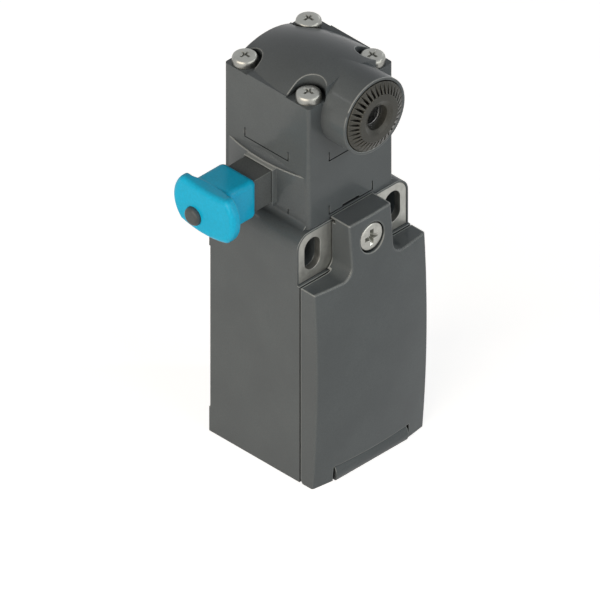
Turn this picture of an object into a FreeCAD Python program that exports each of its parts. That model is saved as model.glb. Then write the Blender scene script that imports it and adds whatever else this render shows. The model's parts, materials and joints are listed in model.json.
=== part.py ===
import FreeCAD, Part
import math
import os
import Sketcher
from types import SimpleNamespace

from FreeCAD import Placement, Rotation, Vector

# A position switch for machine guarding: a moulded base with a hinged front cover,
# a pull reset module on its neck and a turning head on top.
#
# Frame: millimetres, +Z up, the back mounting face lies on Y = 0 and the front looks to -Y.
# The origin is midway between the two fixing slots.

SIZES = {
    # base housing
    "body_width": 30.5,
    "base_depth": 24.8,
    "base_top": 5.5,
    "base_foot": 52.1,
    "shoulder_radius": 3.3,
    "side_wall": 2.2,
    "back_wall": 2.4,
    "floor_wall": 9.5,
    "chamber_top": 7.6,
    "neck_fillet": 1.2,
    "back_relief": 0.3,
    "relief_low": 46.3,
    "relief_high": 8.0,
    # fixing slots, their plate and the conduit entry
    "slot_edge": 4.25,
    "slot_width": 4.3,
    "slot_length": 7.3,
    "shoulder_step": 0.6,
    "plate_sink": 0.1,
    "plate_thickness": 1.5,
    "plate_rim": 0.4,
    "plate_gap": 0.08,
    "plate_drop": 5.7,
    "conduit_radius": 9.19,
    # stack of neck, reset module and head
    "neck_back_gap": 0.5,
    "neck_front_gap": 1.1,
    "neck_height": 3.1,
    "module_height": 12.7,
    "head_height": 12.7,
    "roof_step": 0.3,
    "crown_across_radius": 17.5,
    "crown_along_radius": 54.0,
    "crown_back": 5.5,
    "edge_radius": 0.7,
    "lug_width": 11.6,
    "lug_height": 2.0,
    "lug_depth": 1.6,
    "lug_gap": 0.25,
    "lug_slot": 4.6,
    "lug_slot_height": 0.4,
    # head screws
    "screw_inset": 2.85,
    "screw_radius": 1.5,
    "screw_bite": 3.9,
    "screw_head_radius": 2.6,
    "screw_head_side": 1.1,
    "screw_head_dome": 0.8,
    "pocket_radius": 3.4,
    # boss and turning parts
    "shaft_rise": 8.9,
    "boss_radius": 8.3,
    "boss_length": 6.5,
    "disc_radius": 7.5,
    "disc_recess": 2.7,
    "disc_proud": 1.3,
    "disc_chamfer_depth": 0.9,
    "tooth_outer": 6.9,
    "tooth_inner": 5.2,
    "tooth_depth": 0.55,
    "tooth_sink": 0.35,
    "tooth_count": 36,
    "disc_hole_radius": 2.7,
    "disc_sink_radius": 3.8,
    "disc_sink_depth": 0.5,
    "shaft_radius": 4.0,
    "disc_web": 2.2,
    "shaft_flat": 3.2,
    "lever_thread_radius": 2.067,
    "lever_thread_length": 10.0,
    "cam_flat": 1.2,
    "cam_gap": 0.5,
    "spring_room": 3.4,
    "journal_radius": 3.0,
    "journal_cover": 1.9,
    "rear_wall": 4.5,
    "bushing_radius": 5.5,
    "bushing_length": 7.5,
    "seal_length": 1.7,
    "clip_radius": 5.2,
    "clip_thickness": 0.6,
    "clip_groove": 0.6,
    "clip_mouth": 4.8,
    "head_cavity_radius": 5.5,
    # plunger
    "plunger_head_radius": 3.6,
    "plunger_head_thickness": 1.8,
    "plunger_radius": 1.6,
    "carrier_drop": 0.8,
    "collar_radius": 2.4,
    "collar_up": 3.9,
    "collar_thickness": 1.9,
    "plunger_well": 4.6,
    "plunger_shaftway": 2.9,
    "spring_pot_depth": 4.2,
    "spring_well": 3.1,
    # reset module
    "reset_up": 4.4,
    "pad_bulge": 1.4,
    "pad_half": 10.4,
    "pad_height": 8.65,
    "frame_proud": 2.3,
    "frame_wall": 0.25,
    "frame_gap": 0.1,
    "slider_width": 7.2,
    "slider_height": 7.5,
    "slider_set_back": 0.4,
    "slider_show": 4.95,
    "tongue_thickness": 2.0,
    "reset_travel": 6.0,
    "latch_wall_left": 3.4,
    "tongue_wall": 1.0,
    "latch_chamber_half": 6.2,
    "latch_floor_up": 1.4,
    "latch_height": 5.8,
    "reset_spring_offset": 4.6,
    "reset_spring_up": 1.3,
    "reset_lug_left": 5.2,
    "reset_lug_width": 1.4,
    # knob
    "knob_grip_length": 8.35,
    "knob_socket_depth": 4.2,
    "knob_width": 9.5,
    "knob_rise": 4.75,
    "knob_drop": 4.3,
    "knob_edge_radius": 1.3,
    "knob_root_radius": 1.2,
    "flange_thickness": 2.0,
    "flange_width": 16.9,
    "flange_top": 5.35,
    "flange_bottom": 4.9,
    "flange_shoulder": 6.2,
    "flange_corner_radius": 1.5,
    "flange_top_radius": 36.0,
    "flange_bottom_radius": 22.0,
    "flange_rim_radius": 1.1,
    "pin_radius": 2.0,
    "pin_proud": 1.0,
    "pin_round": 0.8,
    "pin_depth": 3.0,
    "pin_back": 2.4,
    "pin_drop": 2.2,
    # front cover
    "cover_bulge": 6.05,
    "cover_crown_height": 25.5,
    "cover_upright_radius": 300.0,
    "cover_across_radius": 88.0,
    "shoulder_gap": 0.1,
    "cover_edge_radius": 0.45,
    "cover_cavity": 2.2,
    "tab_half": 5.75,
    "tab_rise": 0.5,
    "tab_cove": 2.6,
    "seat_gap": 0.35,
    "gasket_width": 1.1,
    "gasket_thickness": 0.9,
    # cover hinge and screw
    "hinge_ahead": 2.2,
    "hinge_up": 1.3,
    "knuckle_radius": 2.7,
    "cheek_width": 5.4,
    "knuckle_gap": 0.5,
    "mouth_rise": 2.1,
    "hinge_pin_radius": 0.8,
    "hinge_pin_grip": 4.0,
    "cheek_skin": 1.8,
    "cover_screw_up": 1.0,
    "cover_screw_radius": 1.75,
    "cover_screw_head_radius": 3.1,
    "cover_screw_head_height": 2.2,
    "cover_screw_ahead": 4.7,
    "cover_screw_reach": 3.8,
    "cover_screw_bore": 2.4,
    "insert_radius": 3.4,
    "insert_length": 3.0,
    # contact block
    "block_gap": 0.1,
    "block_side_gap": 1.0,
    "block_front_gap": 4.3,
    "block_roof_gap": 0.4,
    "block_height": 25.0,
    "carrier_gap": 0.3,
    "well_floor": 3.0,
    "carrier_half": 3.3,
    "carrier_tail": 4.6,
    "bridge_half": 6.6,
    "bridge_width": 2.6,
    "bridge_thickness": 0.8,
    "contact_gap": 1.2,
    "window_drop": 3.6,
    "upper_contact_down": 4.0,
    "contact_pitch": 9.0,
    "strip_thickness": 0.8,
    "strip_inner": 4.4,
    "strip_outer": 10.4,
    "strip_width": 2.6,
    "terminal_height": 6.2,
    "terminal_set_back": 2.3,
    "clamp_side": 5.8,
    "clamp_thickness": 1.0,
    "terminal_screw_radius": 1.75,
    "terminal_screw_head": 2.7,
    "terminal_screw_height": 1.8,
    "terminal_screw_length": 3.6,
    "block_screw_radius": 1.4,
    "block_screw_head": 2.4,
    "block_screw_across": 8.0,
    "block_screw_skin": 0.6,
    "block_screw_up": 3.4,
    # coils and fits
    "wire_radius": 0.25,
    "plunger_coil": 2.2,
    "shaft_coil": 3.6,
    "contact_coil": 2.2,
    "reset_coil": 0.95,
    "plunger_turns": 5,
    "shaft_turns": 4,
    "contact_turns": 4,
    "reset_turns": 9,
    "press_gap": 0.02,
    "run_gap": 0.05,
    "slide_gap": 0.2,
    "hole_gap": 0.2,
    # how far a cutting tool runs past the face that it enters or leaves
    "overcut": 1.0,
}

DOC = FreeCAD.newDocument("position_switch")
SHEET = DOC.addObject("Spreadsheet::Sheet", "dim")
for row, (alias, number) in enumerate(SIZES.items(), start=1):
    SHEET.set(f"A{row}", alias)
    SHEET.set(f"B{row}", str(number))
    SHEET.setAlias(f"B{row}", alias)
DOC.recompute()

PARTS = {}


class Size:
    """A length that carries its number and the sheet formula behind it."""

    def __init__(self, number, text):
        self.number = number
        self.text = text

    def __add__(self, other):
        other = as_size(other)
        return Size(self.number + other.number, f"({self.text} + {other.text})")

    def __sub__(self, other):
        other = as_size(other)
        return Size(self.number - other.number, f"({self.text} - {other.text})")

    def __mul__(self, other):
        other = as_size(other)
        return Size(self.number * other.number, f"({self.text} * {other.text})")

    def __truediv__(self, other):
        other = as_size(other)
        return Size(self.number / other.number, f"({self.text} / {other.text})")

    def __neg__(self):
        return Size(-self.number, f"(0 - {self.text})")


def as_size(value):
    """Turns a plain number into a Size and leaves a Size as it is."""
    if isinstance(value, Size):
        return value
    return Size(float(value), f"({value})")


def root(value):
    """Square root of a Size."""
    return Size(math.sqrt(value.number), f"sqrt({value.text})")


d = SimpleNamespace(**{alias: Size(SHEET.get(alias), f"dim.{alias}") for alias in SIZES})


def bind(thing, prop, value):
    """Ties one property of a document object to the sheet."""
    thing.setExpression(prop, as_size(value).text)


# Solids from primitives and booleans

AXIS_TURN = {
    "x": Rotation(Vector(0, 1, 0), 90),
    "y": Rotation(Vector(1, 0, 0), -90),
    "z": Rotation(),
}


def place(thing, x, y, z):
    """Ties the three coordinates of a placement to the sheet."""
    bind(thing, "Placement.Base.x", x)
    bind(thing, "Placement.Base.y", y)
    bind(thing, "Placement.Base.z", z)


def block(name, x, y, z):
    """Box between the low and high value on each axis."""
    box = DOC.addObject("Part::Box", name)
    for prop, (low, high) in zip(("Length", "Width", "Height"), (x, y, z)):
        bind(box, prop, as_size(high) - low)
    place(box, x[0], y[0], z[0])
    return box


def along(thing, axis, low, x, y, z):
    """Lays a round primitive along an axis, starting at the low value."""
    thing.Placement = Placement(Vector(), AXIS_TURN[axis])
    spot = {"x": x, "y": y, "z": z}
    spot[axis] = low
    place(thing, spot["x"], spot["y"], spot["z"])
    return thing


def rod(name, axis, radius, low, high, x=0, y=0, z=0):
    """Cylinder along an axis from the low to the high value."""
    cylinder = DOC.addObject("Part::Cylinder", name)
    bind(cylinder, "Radius", radius)
    bind(cylinder, "Height", as_size(high) - low)
    return along(cylinder, axis, low, x, y, z)


def fuse(name, *items):
    """One solid from several that touch or overlap."""
    if len(items) == 1:
        return items[0]
    joined = DOC.addObject("Part::MultiFuse", name)
    joined.Shapes = list(items)
    joined.Refine = True
    return joined


def cut(name, base, *tools):
    """The base with every tool taken away."""
    result = DOC.addObject("Part::Cut", name)
    result.Base = base
    result.Tool = fuse(f"{name}_tools", *tools)
    result.Refine = True
    return result


def common(name, first, second):
    """What two solids share."""
    result = DOC.addObject("Part::Common", name)
    result.Base = first
    result.Tool = second
    result.Refine = True
    return result


def group(name, items):
    """Separate solids kept together as one node."""
    result = DOC.addObject("Part::Compound", name)
    result.Links = list(items)
    return result


def rounded(name, base, radius, wanted):
    """The base with the wanted edges rounded."""
    DOC.recompute()
    result = DOC.addObject("Part::Fillet", name)
    result.Base = base
    size = as_size(radius).number
    edges = enumerate(base.Shape.Edges, start=1)
    result.Edges = [(index, size, size) for index, edge in edges if wanted(edge)]
    return result


def upright(edge):
    """True for a straight edge along Z."""
    low, high = edge.BoundBox.ZMin, edge.BoundBox.ZMax
    return edge.Length - (high - low) < 1e-6


def finish(node, thing):
    """Names a finished sub-part, which also names its file."""
    thing.Label = node
    PARTS[node] = thing
    return thing


# Solids from sketches

def new_body(name):
    return DOC.addObject("PartDesign::Body", name)


def sketch(body, name, role, offset=0):
    """Sketch on one of the body's own origin planes, moved along its normal."""
    drawing = body.newObject("Sketcher::SketchObject", name)
    plane = next(item for item in body.Origin.OriginFeatures if item.Role == role)
    drawing.AttachmentSupport = [(plane, "")]
    drawing.MapMode = "FlatFace"
    bind(drawing, "AttachmentOffset.Base.z", offset)
    return drawing


def pin_point(drawing, piece, end, x, y):
    """Fixes one point of a sketch by its two coordinates."""
    spots = (("DistanceX", x, -2), ("DistanceY", y, -1))
    for kind, value, axis in spots:
        value = as_size(value)
        if value.number == 0:
            drawing.addConstraint(Sketcher.Constraint("PointOnObject", piece, end, axis))
        else:
            rule = Sketcher.Constraint(kind, -1, 1, piece, end, value.number)
            index = drawing.addConstraint(rule)
            bind(drawing, f"Constraints[{index}]", value)


def arc_between(start, end, radius, turn):
    """Short arc from start to end; turn is 1 anticlockwise and -1 clockwise."""
    chord = end - start
    left = Vector(-chord.y, chord.x, 0).normalize()
    rise = math.sqrt(max(radius ** 2 - (chord.Length / 2) ** 2, 0))
    centre = (start + end) / 2 + left * rise * turn
    first, last = (start, end) if turn > 0 else (end, start)
    angle = math.atan2(first.y - centre.y, first.x - centre.x)
    sweep = math.atan2(last.y - centre.y, last.x - centre.x)
    while sweep <= angle:
        sweep += 2 * math.pi
    return Part.ArcOfCircle(Part.Circle(centre, Vector(0, 0, 1), radius), angle, sweep)


def outline(drawing, corners, arcs=None):
    """Closed run of lines through the corners; arcs gives a radius and a turn by run."""
    arcs = arcs or {}
    spots = [Vector(as_size(x).number, as_size(y).number, 0) for x, y in corners]
    runs = []
    for index, start in enumerate(spots):
        end = spots[(index + 1) % len(spots)]
        if index in arcs:
            radius, turn = arcs[index]
            piece = drawing.addGeometry(arc_between(start, end, as_size(radius).number, turn))
            rule = drawing.addConstraint(Sketcher.Constraint("Radius", piece, as_size(radius).number))
            bind(drawing, f"Constraints[{rule}]", radius)
            runs.append((piece, 1, 2) if turn > 0 else (piece, 2, 1))
        else:
            piece = drawing.addGeometry(Part.LineSegment(start, end))
            runs.append((piece, 1, 2))
    for index, (piece, first, last) in enumerate(runs):
        after, start, unused = runs[(index + 1) % len(runs)]
        drawing.addConstraint(Sketcher.Constraint("Coincident", piece, last, after, start))
        pin_point(drawing, piece, first, *corners[index])


def circle(drawing, x, y, radius):
    """Circle fixed by its centre and radius."""
    radius = as_size(radius)
    middle = Vector(as_size(x).number, as_size(y).number, 0)
    piece = drawing.addGeometry(Part.Circle(middle, Vector(0, 0, 1), radius.number))
    rule = drawing.addConstraint(Sketcher.Constraint("Radius", piece, radius.number))
    bind(drawing, f"Constraints[{rule}]", radius)
    pin_point(drawing, piece, 3, x, y)


def pad(body, name, drawing, length):
    """Adds the drawing's area, pushed along its normal."""
    feature = body.newObject("PartDesign::Pad", name)
    feature.Profile = drawing
    bind(feature, "Length", length)
    return feature


def pocket(body, name, drawing, length):
    """Takes the drawing's area away, against its normal."""
    feature = body.newObject("PartDesign::Pocket", name)
    feature.Profile = drawing
    bind(feature, "Length", length)
    return feature


def turned(name, corners, arcs=None):
    """Lathe part about its own Z axis; the corners are radius and height."""
    body = new_body(name)
    drawing = sketch(body, f"{name}_profile", "XZ_Plane")
    outline(drawing, corners, arcs)
    feature = body.newObject("PartDesign::Revolution", f"{name}_turn")
    feature.Profile = drawing
    feature.ReferenceAxis = (drawing, ["V_Axis"])
    feature.Angle = 360
    return body


def coil(name, axis, radius, low, high, turns, x=0, y=0, z=0):
    """Wound wire between two seats."""
    height = as_size(high) - low - d.wire_radius * 2
    helix = DOC.addObject("Part::Helix", f"{name}_line")
    bind(helix, "Height", height)
    bind(helix, "Pitch", height / turns)
    bind(helix, "Radius", radius)
    section = DOC.addObject("Part::Circle", f"{name}_section")
    bind(section, "Radius", d.wire_radius)
    section.Placement = Placement(Vector(), Rotation(Vector(1, 0, 0), 90))
    bind(section, "Placement.Base.x", radius)
    sweep = DOC.addObject("Part::Sweep", name)
    sweep.Sections = [section]
    DOC.recompute()
    edges = [f"Edge{number}" for number in range(1, len(helix.Shape.Edges) + 1)]
    sweep.Spine = (helix, edges)
    sweep.Solid = True
    sweep.Frenet = True
    return along(sweep, axis, as_size(low) + d.wire_radius, x, y, z)


# Places that several pieces share

half_body = d.body_width / 2
inner_half = half_body - d.side_wall
slot_x = half_body - d.slot_edge
chamber_floor = d.floor_wall - d.base_foot
shoulder_face = d.shoulder_step - d.base_depth
plate_face = shoulder_face + d.plate_sink
plate_back = plate_face + d.plate_thickness

# the stack of neck, reset module and head, upwards from the shoulders of the base
head_side = d.base_depth - d.neck_back_gap - d.neck_front_gap
half_head = head_side / 2
head_back = -d.neck_back_gap
head_front = head_back - head_side
axis_y = head_back - half_head
neck_top = d.base_top + d.neck_height
module_top = neck_top + d.module_height
head_seat = module_top + d.head_height
screw_reach = half_head - d.screw_inset
screw_tip = neck_top - d.screw_bite
SCREW_CORNERS = [(-1, -1), (1, -1), (1, 1), (-1, 1)]
SIDES = (-1, 1)

# the shaft and what turns with it, backwards from the front of the boss
shaft_z = module_top + d.shaft_rise
crest_z = shaft_z + d.boss_radius
crest_y = head_front + d.crown_back
boss_front = d.boss_length - head_front
disc_front = boss_front + d.disc_proud
shaft_front = disc_front - d.disc_web
recess_floor = d.disc_recess - boss_front
bushing_front = boss_front - d.disc_recess - d.seal_length
bushing_back = bushing_front - d.bushing_length
cam_front = bushing_back - d.clip_thickness - d.cam_gap
rear_seat = d.rear_wall - head_back
cam_back = rear_seat + d.spring_room
journal_end = d.journal_cover - head_back

# the plunger and the latch that holds its collar down
plunger_top = shaft_z - d.shaft_radius - d.slide_gap
collar_top = neck_top + d.collar_up
spring_seat = neck_top - d.spring_pot_depth
reset_z = neck_top + d.reset_up
pad_top = neck_top + d.pad_height
latch_left = half_head - d.latch_wall_left
latch_floor = neck_top + d.latch_floor_up
latch_roof = latch_floor + d.latch_height
slider_inner = latch_left + d.slider_set_back
tongue_end = d.reset_travel + d.collar_radius + d.hole_gap + d.tongue_wall
latch_right = tongue_end + d.slider_set_back
frame_reach = half_head + d.frame_proud
knob_inner = frame_reach + d.slider_show
knob_outer = knob_inner + d.knob_grip_length
slider_outer = knob_inner + d.knob_socket_depth
flange_outer = knob_outer + d.flange_thickness

# the cover, its hinge and its screw
cover_back = -d.base_depth - d.seat_gap
cover_front = d.base_depth + d.cover_bulge
cover_shoulder = d.plate_drop + d.shoulder_gap
tab_top = d.base_top + d.tab_rise
hinge_y = -d.base_depth - d.hinge_ahead
hinge_z = d.hinge_up - d.base_foot
knuckle_half = half_body - d.cheek_width
hinge_pin_inner = knuckle_half - d.hinge_pin_grip
hinge_pin_outer = half_body - d.cheek_skin
cover_screw_face = d.base_depth + d.cover_screw_ahead
cover_screw_tip = d.base_depth - d.cover_screw_reach
insert_back = plate_back + d.insert_length

# the contact block, downwards from the roof of the chamber
carrier_top = -d.chamber_top - d.carrier_drop
block_half = inner_half - d.block_side_gap
block_front = d.base_depth - d.block_front_gap
block_top = d.chamber_top + d.block_roof_gap
block_bottom = block_top + d.block_height
block_screw_z = d.block_screw_up - block_bottom
well_half = d.carrier_half + d.carrier_gap
well_bottom = block_bottom - d.well_floor
upper_contact = block_top + d.upper_contact_down
lower_contact = upper_contact + d.contact_pitch
carrier_bottom = lower_contact + d.carrier_tail
terminal_front = block_front - d.terminal_set_back
terminal_across = (d.strip_inner + d.strip_outer) / 2


def lug(name, side, top, grow):
    """Key on one face of the stack, hanging below a parting plane."""
    wide = d.lug_width / 2 + grow
    deep = half_head - d.lug_depth - grow
    height = (top - d.lug_height - grow, top)
    across = (-wide, wide)
    along_y = (axis_y - wide, axis_y + wide)
    if side == "left":
        return block(name, (-half_head, -deep), along_y, height)
    if side == "right":
        return block(name, (deep, half_head), along_y, height)
    if side == "front":
        return block(name, across, (head_front, axis_y - deep), height)
    return block(name, across, (axis_y + deep, head_back), height)


FACES = ("left", "right", "front", "back")


def lugs(name, top, grow=0):
    return [lug(f"{name}_{face}", face, top, grow) for face in FACES]


def stack_block(name, low, high):
    """Square block of the stack with softened upright edges."""
    y = (head_front, head_back)
    return rounded(f"{name}_soft", block(name, (-half_head, half_head), y, (low, high)),
                   d.edge_radius, upright)


def screw_holes(name, radius, low, high):
    """Four upright holes at the corners of the stack."""
    holes = []
    for index, (right, back) in enumerate(SCREW_CORNERS):
        spot = {"x": screw_reach * right, "y": axis_y + screw_reach * back}
        holes.append(rod(f"{name}_{index}", "z", radius, low, high, **spot))
    return holes


def ring(name, outer, inner, low, high):
    """Flat ring about the stack's axis."""
    rim = rod(f"{name}_rim", "z", outer, low, high, y=axis_y)
    hole = rod(f"{name}_hole", "z", inner, low - d.overcut, as_size(high) + d.overcut, y=axis_y)
    return cut(name, rim, hole)


# Base housing

def slot_outline(drawing, centre, width, length):
    """Upright slot with round ends."""
    straight = (length - width) / 2
    radius = width / 2
    corners = [(centre + radius, -straight), (centre + radius, straight),
               (centre - radius, straight), (centre - radius, -straight)]
    # The round ends are drawn as two quarter turns each, through the tip.
    tips = [corners[0], corners[1], (centre, straight + radius), corners[2], corners[3],
            (centre, -straight - radius)]
    outline(drawing, tips, {index: (radius, 1) for index in (1, 2, 4, 5)})


def base_shell():
    """Moulded box with rounded shoulders and a wiring chamber that is open at the front."""
    body = new_body("base_shell")
    face = sketch(body, "base_outline", "XZ_Plane")
    shoulder = d.shoulder_radius
    outline(face, [
        (-half_body, -d.base_foot), (half_body, -d.base_foot),
        (half_body, d.base_top - shoulder), (half_body - shoulder, d.base_top),
        (shoulder - half_body, d.base_top), (-half_body, d.base_top - shoulder),
    ], {2: (shoulder, 1), 4: (shoulder, 1)})
    pad(body, "base_depth_pad", face, d.base_depth)
    chamber = sketch(body, "chamber_outline", "XZ_Plane", d.base_depth)
    outline(chamber, [
        (-inner_half, chamber_floor), (inner_half, chamber_floor),
        (inner_half, -d.chamber_top), (-inner_half, -d.chamber_top),
    ])
    pocket(body, "chamber", chamber, d.base_depth - d.back_wall)
    return body


def plate_room():
    """Recess for the fixing plate, sunk in the front of the base."""
    body = new_body("plate_room")
    face = sketch(body, "plate_room_outline", "XZ_Plane", -plate_back)
    plate_outline(face, 0)
    pad(body, "plate_room_pad", face, d.plate_thickness + d.plate_sink + d.overcut)
    return body


def slot_room(side):
    """One fixing slot, right through the base."""
    body = new_body(f"slot_room_{side + 1}")
    face = sketch(body, f"slot_room_outline_{side + 1}", "XZ_Plane", -d.overcut)
    slot_outline(face, slot_x * side, d.slot_width, d.slot_length)
    pad(body, f"slot_room_pad_{side + 1}", face, d.base_depth + d.overcut)
    return body


def plate_outline(drawing, gap):
    """Outline of the fixing plate, which follows the shoulders of the base."""
    side = half_body - d.plate_rim - gap
    top = d.base_top - d.plate_rim - gap
    low = as_size(gap) - d.plate_drop
    corner = d.shoulder_radius - d.plate_rim - gap
    outline(drawing, [
        (-side, low), (side, low), (side, top - corner), (side - corner, top),
        (corner - side, top), (-side, top - corner),
    ], {2: (corner, 1), 4: (corner, 1)})


def neck_root(side):
    """Hollow at the root of the neck, tangent to the neck's wall and to the round shoulder."""
    hollow = d.neck_fillet
    shoulder = d.shoulder_radius
    centre_x = half_body - shoulder
    centre_z = d.base_top - shoulder
    offset = half_head + hollow - centre_x
    reach = shoulder + hollow
    climb = root(reach * reach - offset * offset)
    wall = (half_head * side, centre_z + climb)
    foot = ((centre_x + offset * shoulder / reach) * side, centre_z + climb * shoulder / reach)
    body = new_body(f"neck_root_{side + 1}")
    face = sketch(body, f"neck_root_outline_{side + 1}", "XZ_Plane", d.edge_radius - head_back)
    inner = wall[0] - hollow * side
    outline(face, [wall, foot, (foot[0], centre_z), (inner, centre_z), (inner, wall[1])],
            {0: (hollow, side)})
    pad(body, f"neck_root_pad_{side + 1}", face, head_side - d.edge_radius * 2)
    return body


def base_housing():
    neck = stack_block("neck", d.base_top - d.shoulder_radius, neck_top)
    roots = [neck_root(side) for side in SIDES]
    knuckle = rod("knuckle", "x", d.knuckle_radius, -knuckle_half, knuckle_half, y=hinge_y, z=hinge_z)
    under = block("knuckle_under", (-half_body, half_body), (hinge_y - half_body, hinge_y + half_body),
                  (-d.base_foot - d.knuckle_radius, -d.base_foot))
    trimmed = cut("knuckle_trimmed", knuckle, under)
    web = block("knuckle_web", (-knuckle_half, knuckle_half), (hinge_y, -d.base_depth + d.side_wall),
                (-d.base_foot, hinge_z + d.hinge_up))
    solid = fuse("base_solid", base_shell(), neck, *roots, trimmed, web)
    holes = [
        plate_room(),
        block("shoulder_cut", (-half_body - d.overcut, half_body + d.overcut),
              (-d.base_depth - d.overcut, shoulder_face), (-d.plate_drop, d.base_top + d.overcut)),
        block("back_hollow", (-half_body - d.overcut, half_body + d.overcut), (-d.back_relief, d.overcut),
              (-d.relief_low, -d.relief_high)),
        rod("conduit", "z", d.conduit_radius, -d.base_foot - d.overcut, chamber_floor + d.overcut,
            y=-d.base_depth / 2),
        rod("plunger_guide", "z", d.plunger_radius + d.run_gap, -d.chamber_top - d.overcut, neck_top,
            y=axis_y),
        rod("spring_pot", "z", d.spring_well, spring_seat, neck_top + d.overcut, y=axis_y),
        rod("insert_pot", "y", d.insert_radius + d.press_gap, plate_back - d.overcut, insert_back,
            z=d.cover_screw_up),
    ]
    holes += screw_holes("neck_hole", d.screw_radius + d.press_gap,
                         screw_tip - d.hole_gap, neck_top + d.overcut)
    holes += lugs("neck_notch", neck_top, d.lug_gap)
    for side in SIDES:
        holes.append(slot_room(side))
        ends = sorted((hinge_pin_inner * side, (knuckle_half + d.overcut) * side), key=lambda end: end.number)
        holes.append(rod(f"knuckle_bore_{side + 1}", "x", d.hinge_pin_radius + d.press_gap, *ends,
                         y=hinge_y, z=hinge_z))
        holes.append(rod(f"block_screw_hole_{side + 1}", "y", d.block_screw_radius + d.press_gap,
                         -d.back_wall - d.overcut, -d.block_screw_skin, x=d.block_screw_across * side,
                         z=block_screw_z))
    finish("base_housing", cut("base_housing", solid, *holes))


def fixing_plate():
    body = new_body("plate_body")
    face = sketch(body, "plate_face", "XZ_Plane", -plate_back)
    plate_outline(face, d.plate_gap)
    pad(body, "plate_pad", face, d.plate_thickness)
    slots = sketch(body, "plate_slots", "XZ_Plane", -plate_face)
    for side in SIDES:
        slot_outline(slots, slot_x * side, d.slot_width, d.slot_length)
    circle(slots, 0, d.cover_screw_up, d.cover_screw_bore)
    pocket(body, "plate_holes", slots, d.plate_thickness)
    finish("fixing_plate", body)


def screw_insert():
    tube = rod("insert_tube", "y", d.insert_radius, plate_back, insert_back, z=d.cover_screw_up)
    bore = rod("insert_bore", "y", d.cover_screw_bore, plate_back - d.overcut, insert_back + d.overcut,
               z=d.cover_screw_up)
    finish("cover_screw_insert", cut("cover_screw_insert", tube, bore))


def hinge_pins():
    pins = []
    for side in SIDES:
        ends = sorted((hinge_pin_inner * side, hinge_pin_outer * side), key=lambda end: end.number)
        pins.append(rod(f"hinge_pin_{side + 1}", "x", d.hinge_pin_radius, *ends, y=hinge_y, z=hinge_z))
    finish("hinge_pins", group("hinge_pins", pins))


# Front cover

def cover_slab():
    """Cover outline pushed forward and crowned both ways by a slice of a large ring."""
    body = new_body("cover_slab")
    face = sketch(body, "cover_outline", "XZ_Plane", -cover_back)
    shoulder = -cover_shoulder
    cove = d.tab_cove
    outline(face, [
        (-half_body, -d.base_foot), (half_body, -d.base_foot), (half_body, shoulder),
        (d.tab_half + cove, shoulder), (d.tab_half, shoulder + cove), (d.tab_half, tab_top),
        (-d.tab_half, tab_top), (-d.tab_half, shoulder + cove), (-d.tab_half - cove, shoulder),
        (-half_body, shoulder),
    ], {3: (cove, -1), 7: (cove, -1)})
    pad(body, "cover_pad", face, cover_front + d.side_wall + cover_back)
    crown = DOC.addObject("Part::Torus", "cover_crown")
    bind(crown, "Radius1", d.cover_upright_radius - d.cover_across_radius)
    bind(crown, "Radius2", d.cover_across_radius)
    crown.Placement = Placement(Vector(), AXIS_TURN["x"])
    place(crown, 0, d.cover_upright_radius - cover_front, -d.cover_crown_height)
    slab = common("cover_crowned", body, crown)

    def front_edge(edge):
        """True for the edges round the crowned face, but not along the foot."""
        box = edge.BoundBox
        foot = abs(box.ZMax + d.base_foot.number) < 1e-6
        return box.YMax < cover_back.number - d.side_wall.number and not foot

    return rounded("cover_soft", slab, d.cover_edge_radius, front_edge)


def tab_rear():
    """Rear of the tab, which reaches back to the fixing plate with the coves at its foot."""
    y = (cover_back, plate_face - d.hole_gap)
    low = d.hole_gap - d.plate_drop
    cove = d.tab_cove
    cove_z = cove - cover_shoulder
    pieces = [block("tab_rear_block", (-d.tab_half, d.tab_half), y,
                    (low, d.base_top - d.plate_rim - d.hole_gap))]
    for side in SIDES:
        x = sorted(((d.tab_half - d.overcut) * side, (d.tab_half + cove) * side), key=lambda end: end.number)
        foot = block(f"cove_foot_{side + 1}", x, y, (low, cove_z))
        hollow = rod(f"cove_hollow_{side + 1}", "y", cove, y[0] - d.overcut, y[1] + d.overcut,
                     x=(d.tab_half + cove) * side, z=cove_z)
        pieces.append(cut(f"cove_{side + 1}", foot, hollow))
    return fuse("tab_rear", *pieces)


def front_cover():
    lip = block("tab_lip", (-d.tab_half, d.tab_half), (cover_back, head_front - d.hole_gap),
                (d.base_top + d.hole_gap, tab_top))
    solid = fuse("cover_solid", cover_slab(), tab_rear(), lip)
    rebate = inner_half + d.gasket_width
    notch_radius = d.knuckle_radius + d.hole_gap
    notch_half = knuckle_half + d.knuckle_gap
    through = (cover_back - cover_front, plate_face)
    tools = [
        block("cover_cavity", (-inner_half, inner_half),
              (-d.base_depth - d.cover_cavity, cover_back + d.overcut), (chamber_floor, -d.chamber_top)),
        block("gasket_rebate", (-rebate, rebate), (cover_back - d.gasket_thickness, cover_back + d.overcut),
              (chamber_floor - d.gasket_width, d.gasket_width - d.chamber_top)),
        rod("knuckle_notch", "x", notch_radius, -notch_half, notch_half, y=hinge_y, z=hinge_z),
        block("knuckle_mouth", (-notch_half, notch_half), through,
              (-d.base_foot - d.overcut, hinge_z + d.mouth_rise)),
        rod("cover_screw_hole", "y", d.cover_screw_radius + d.hole_gap, *through, z=d.cover_screw_up),
        rod("cover_screw_sink", "y", d.cover_screw_head_radius + d.hole_gap,
            cover_back - cover_front, d.cover_screw_head_height - cover_screw_face,
            z=d.cover_screw_up),
    ]
    for side in SIDES:
        ends = sorted((knuckle_half * side, (hinge_pin_outer + d.hole_gap) * side),
                      key=lambda end: end.number)
        tools.append(rod(f"cheek_bore_{side + 1}", "x", d.hinge_pin_radius + d.run_gap, *ends,
                         y=hinge_y, z=hinge_z))
    tools.append(cheek_round())
    finish("front_cover", cut("front_cover", solid, *tools))


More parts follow.
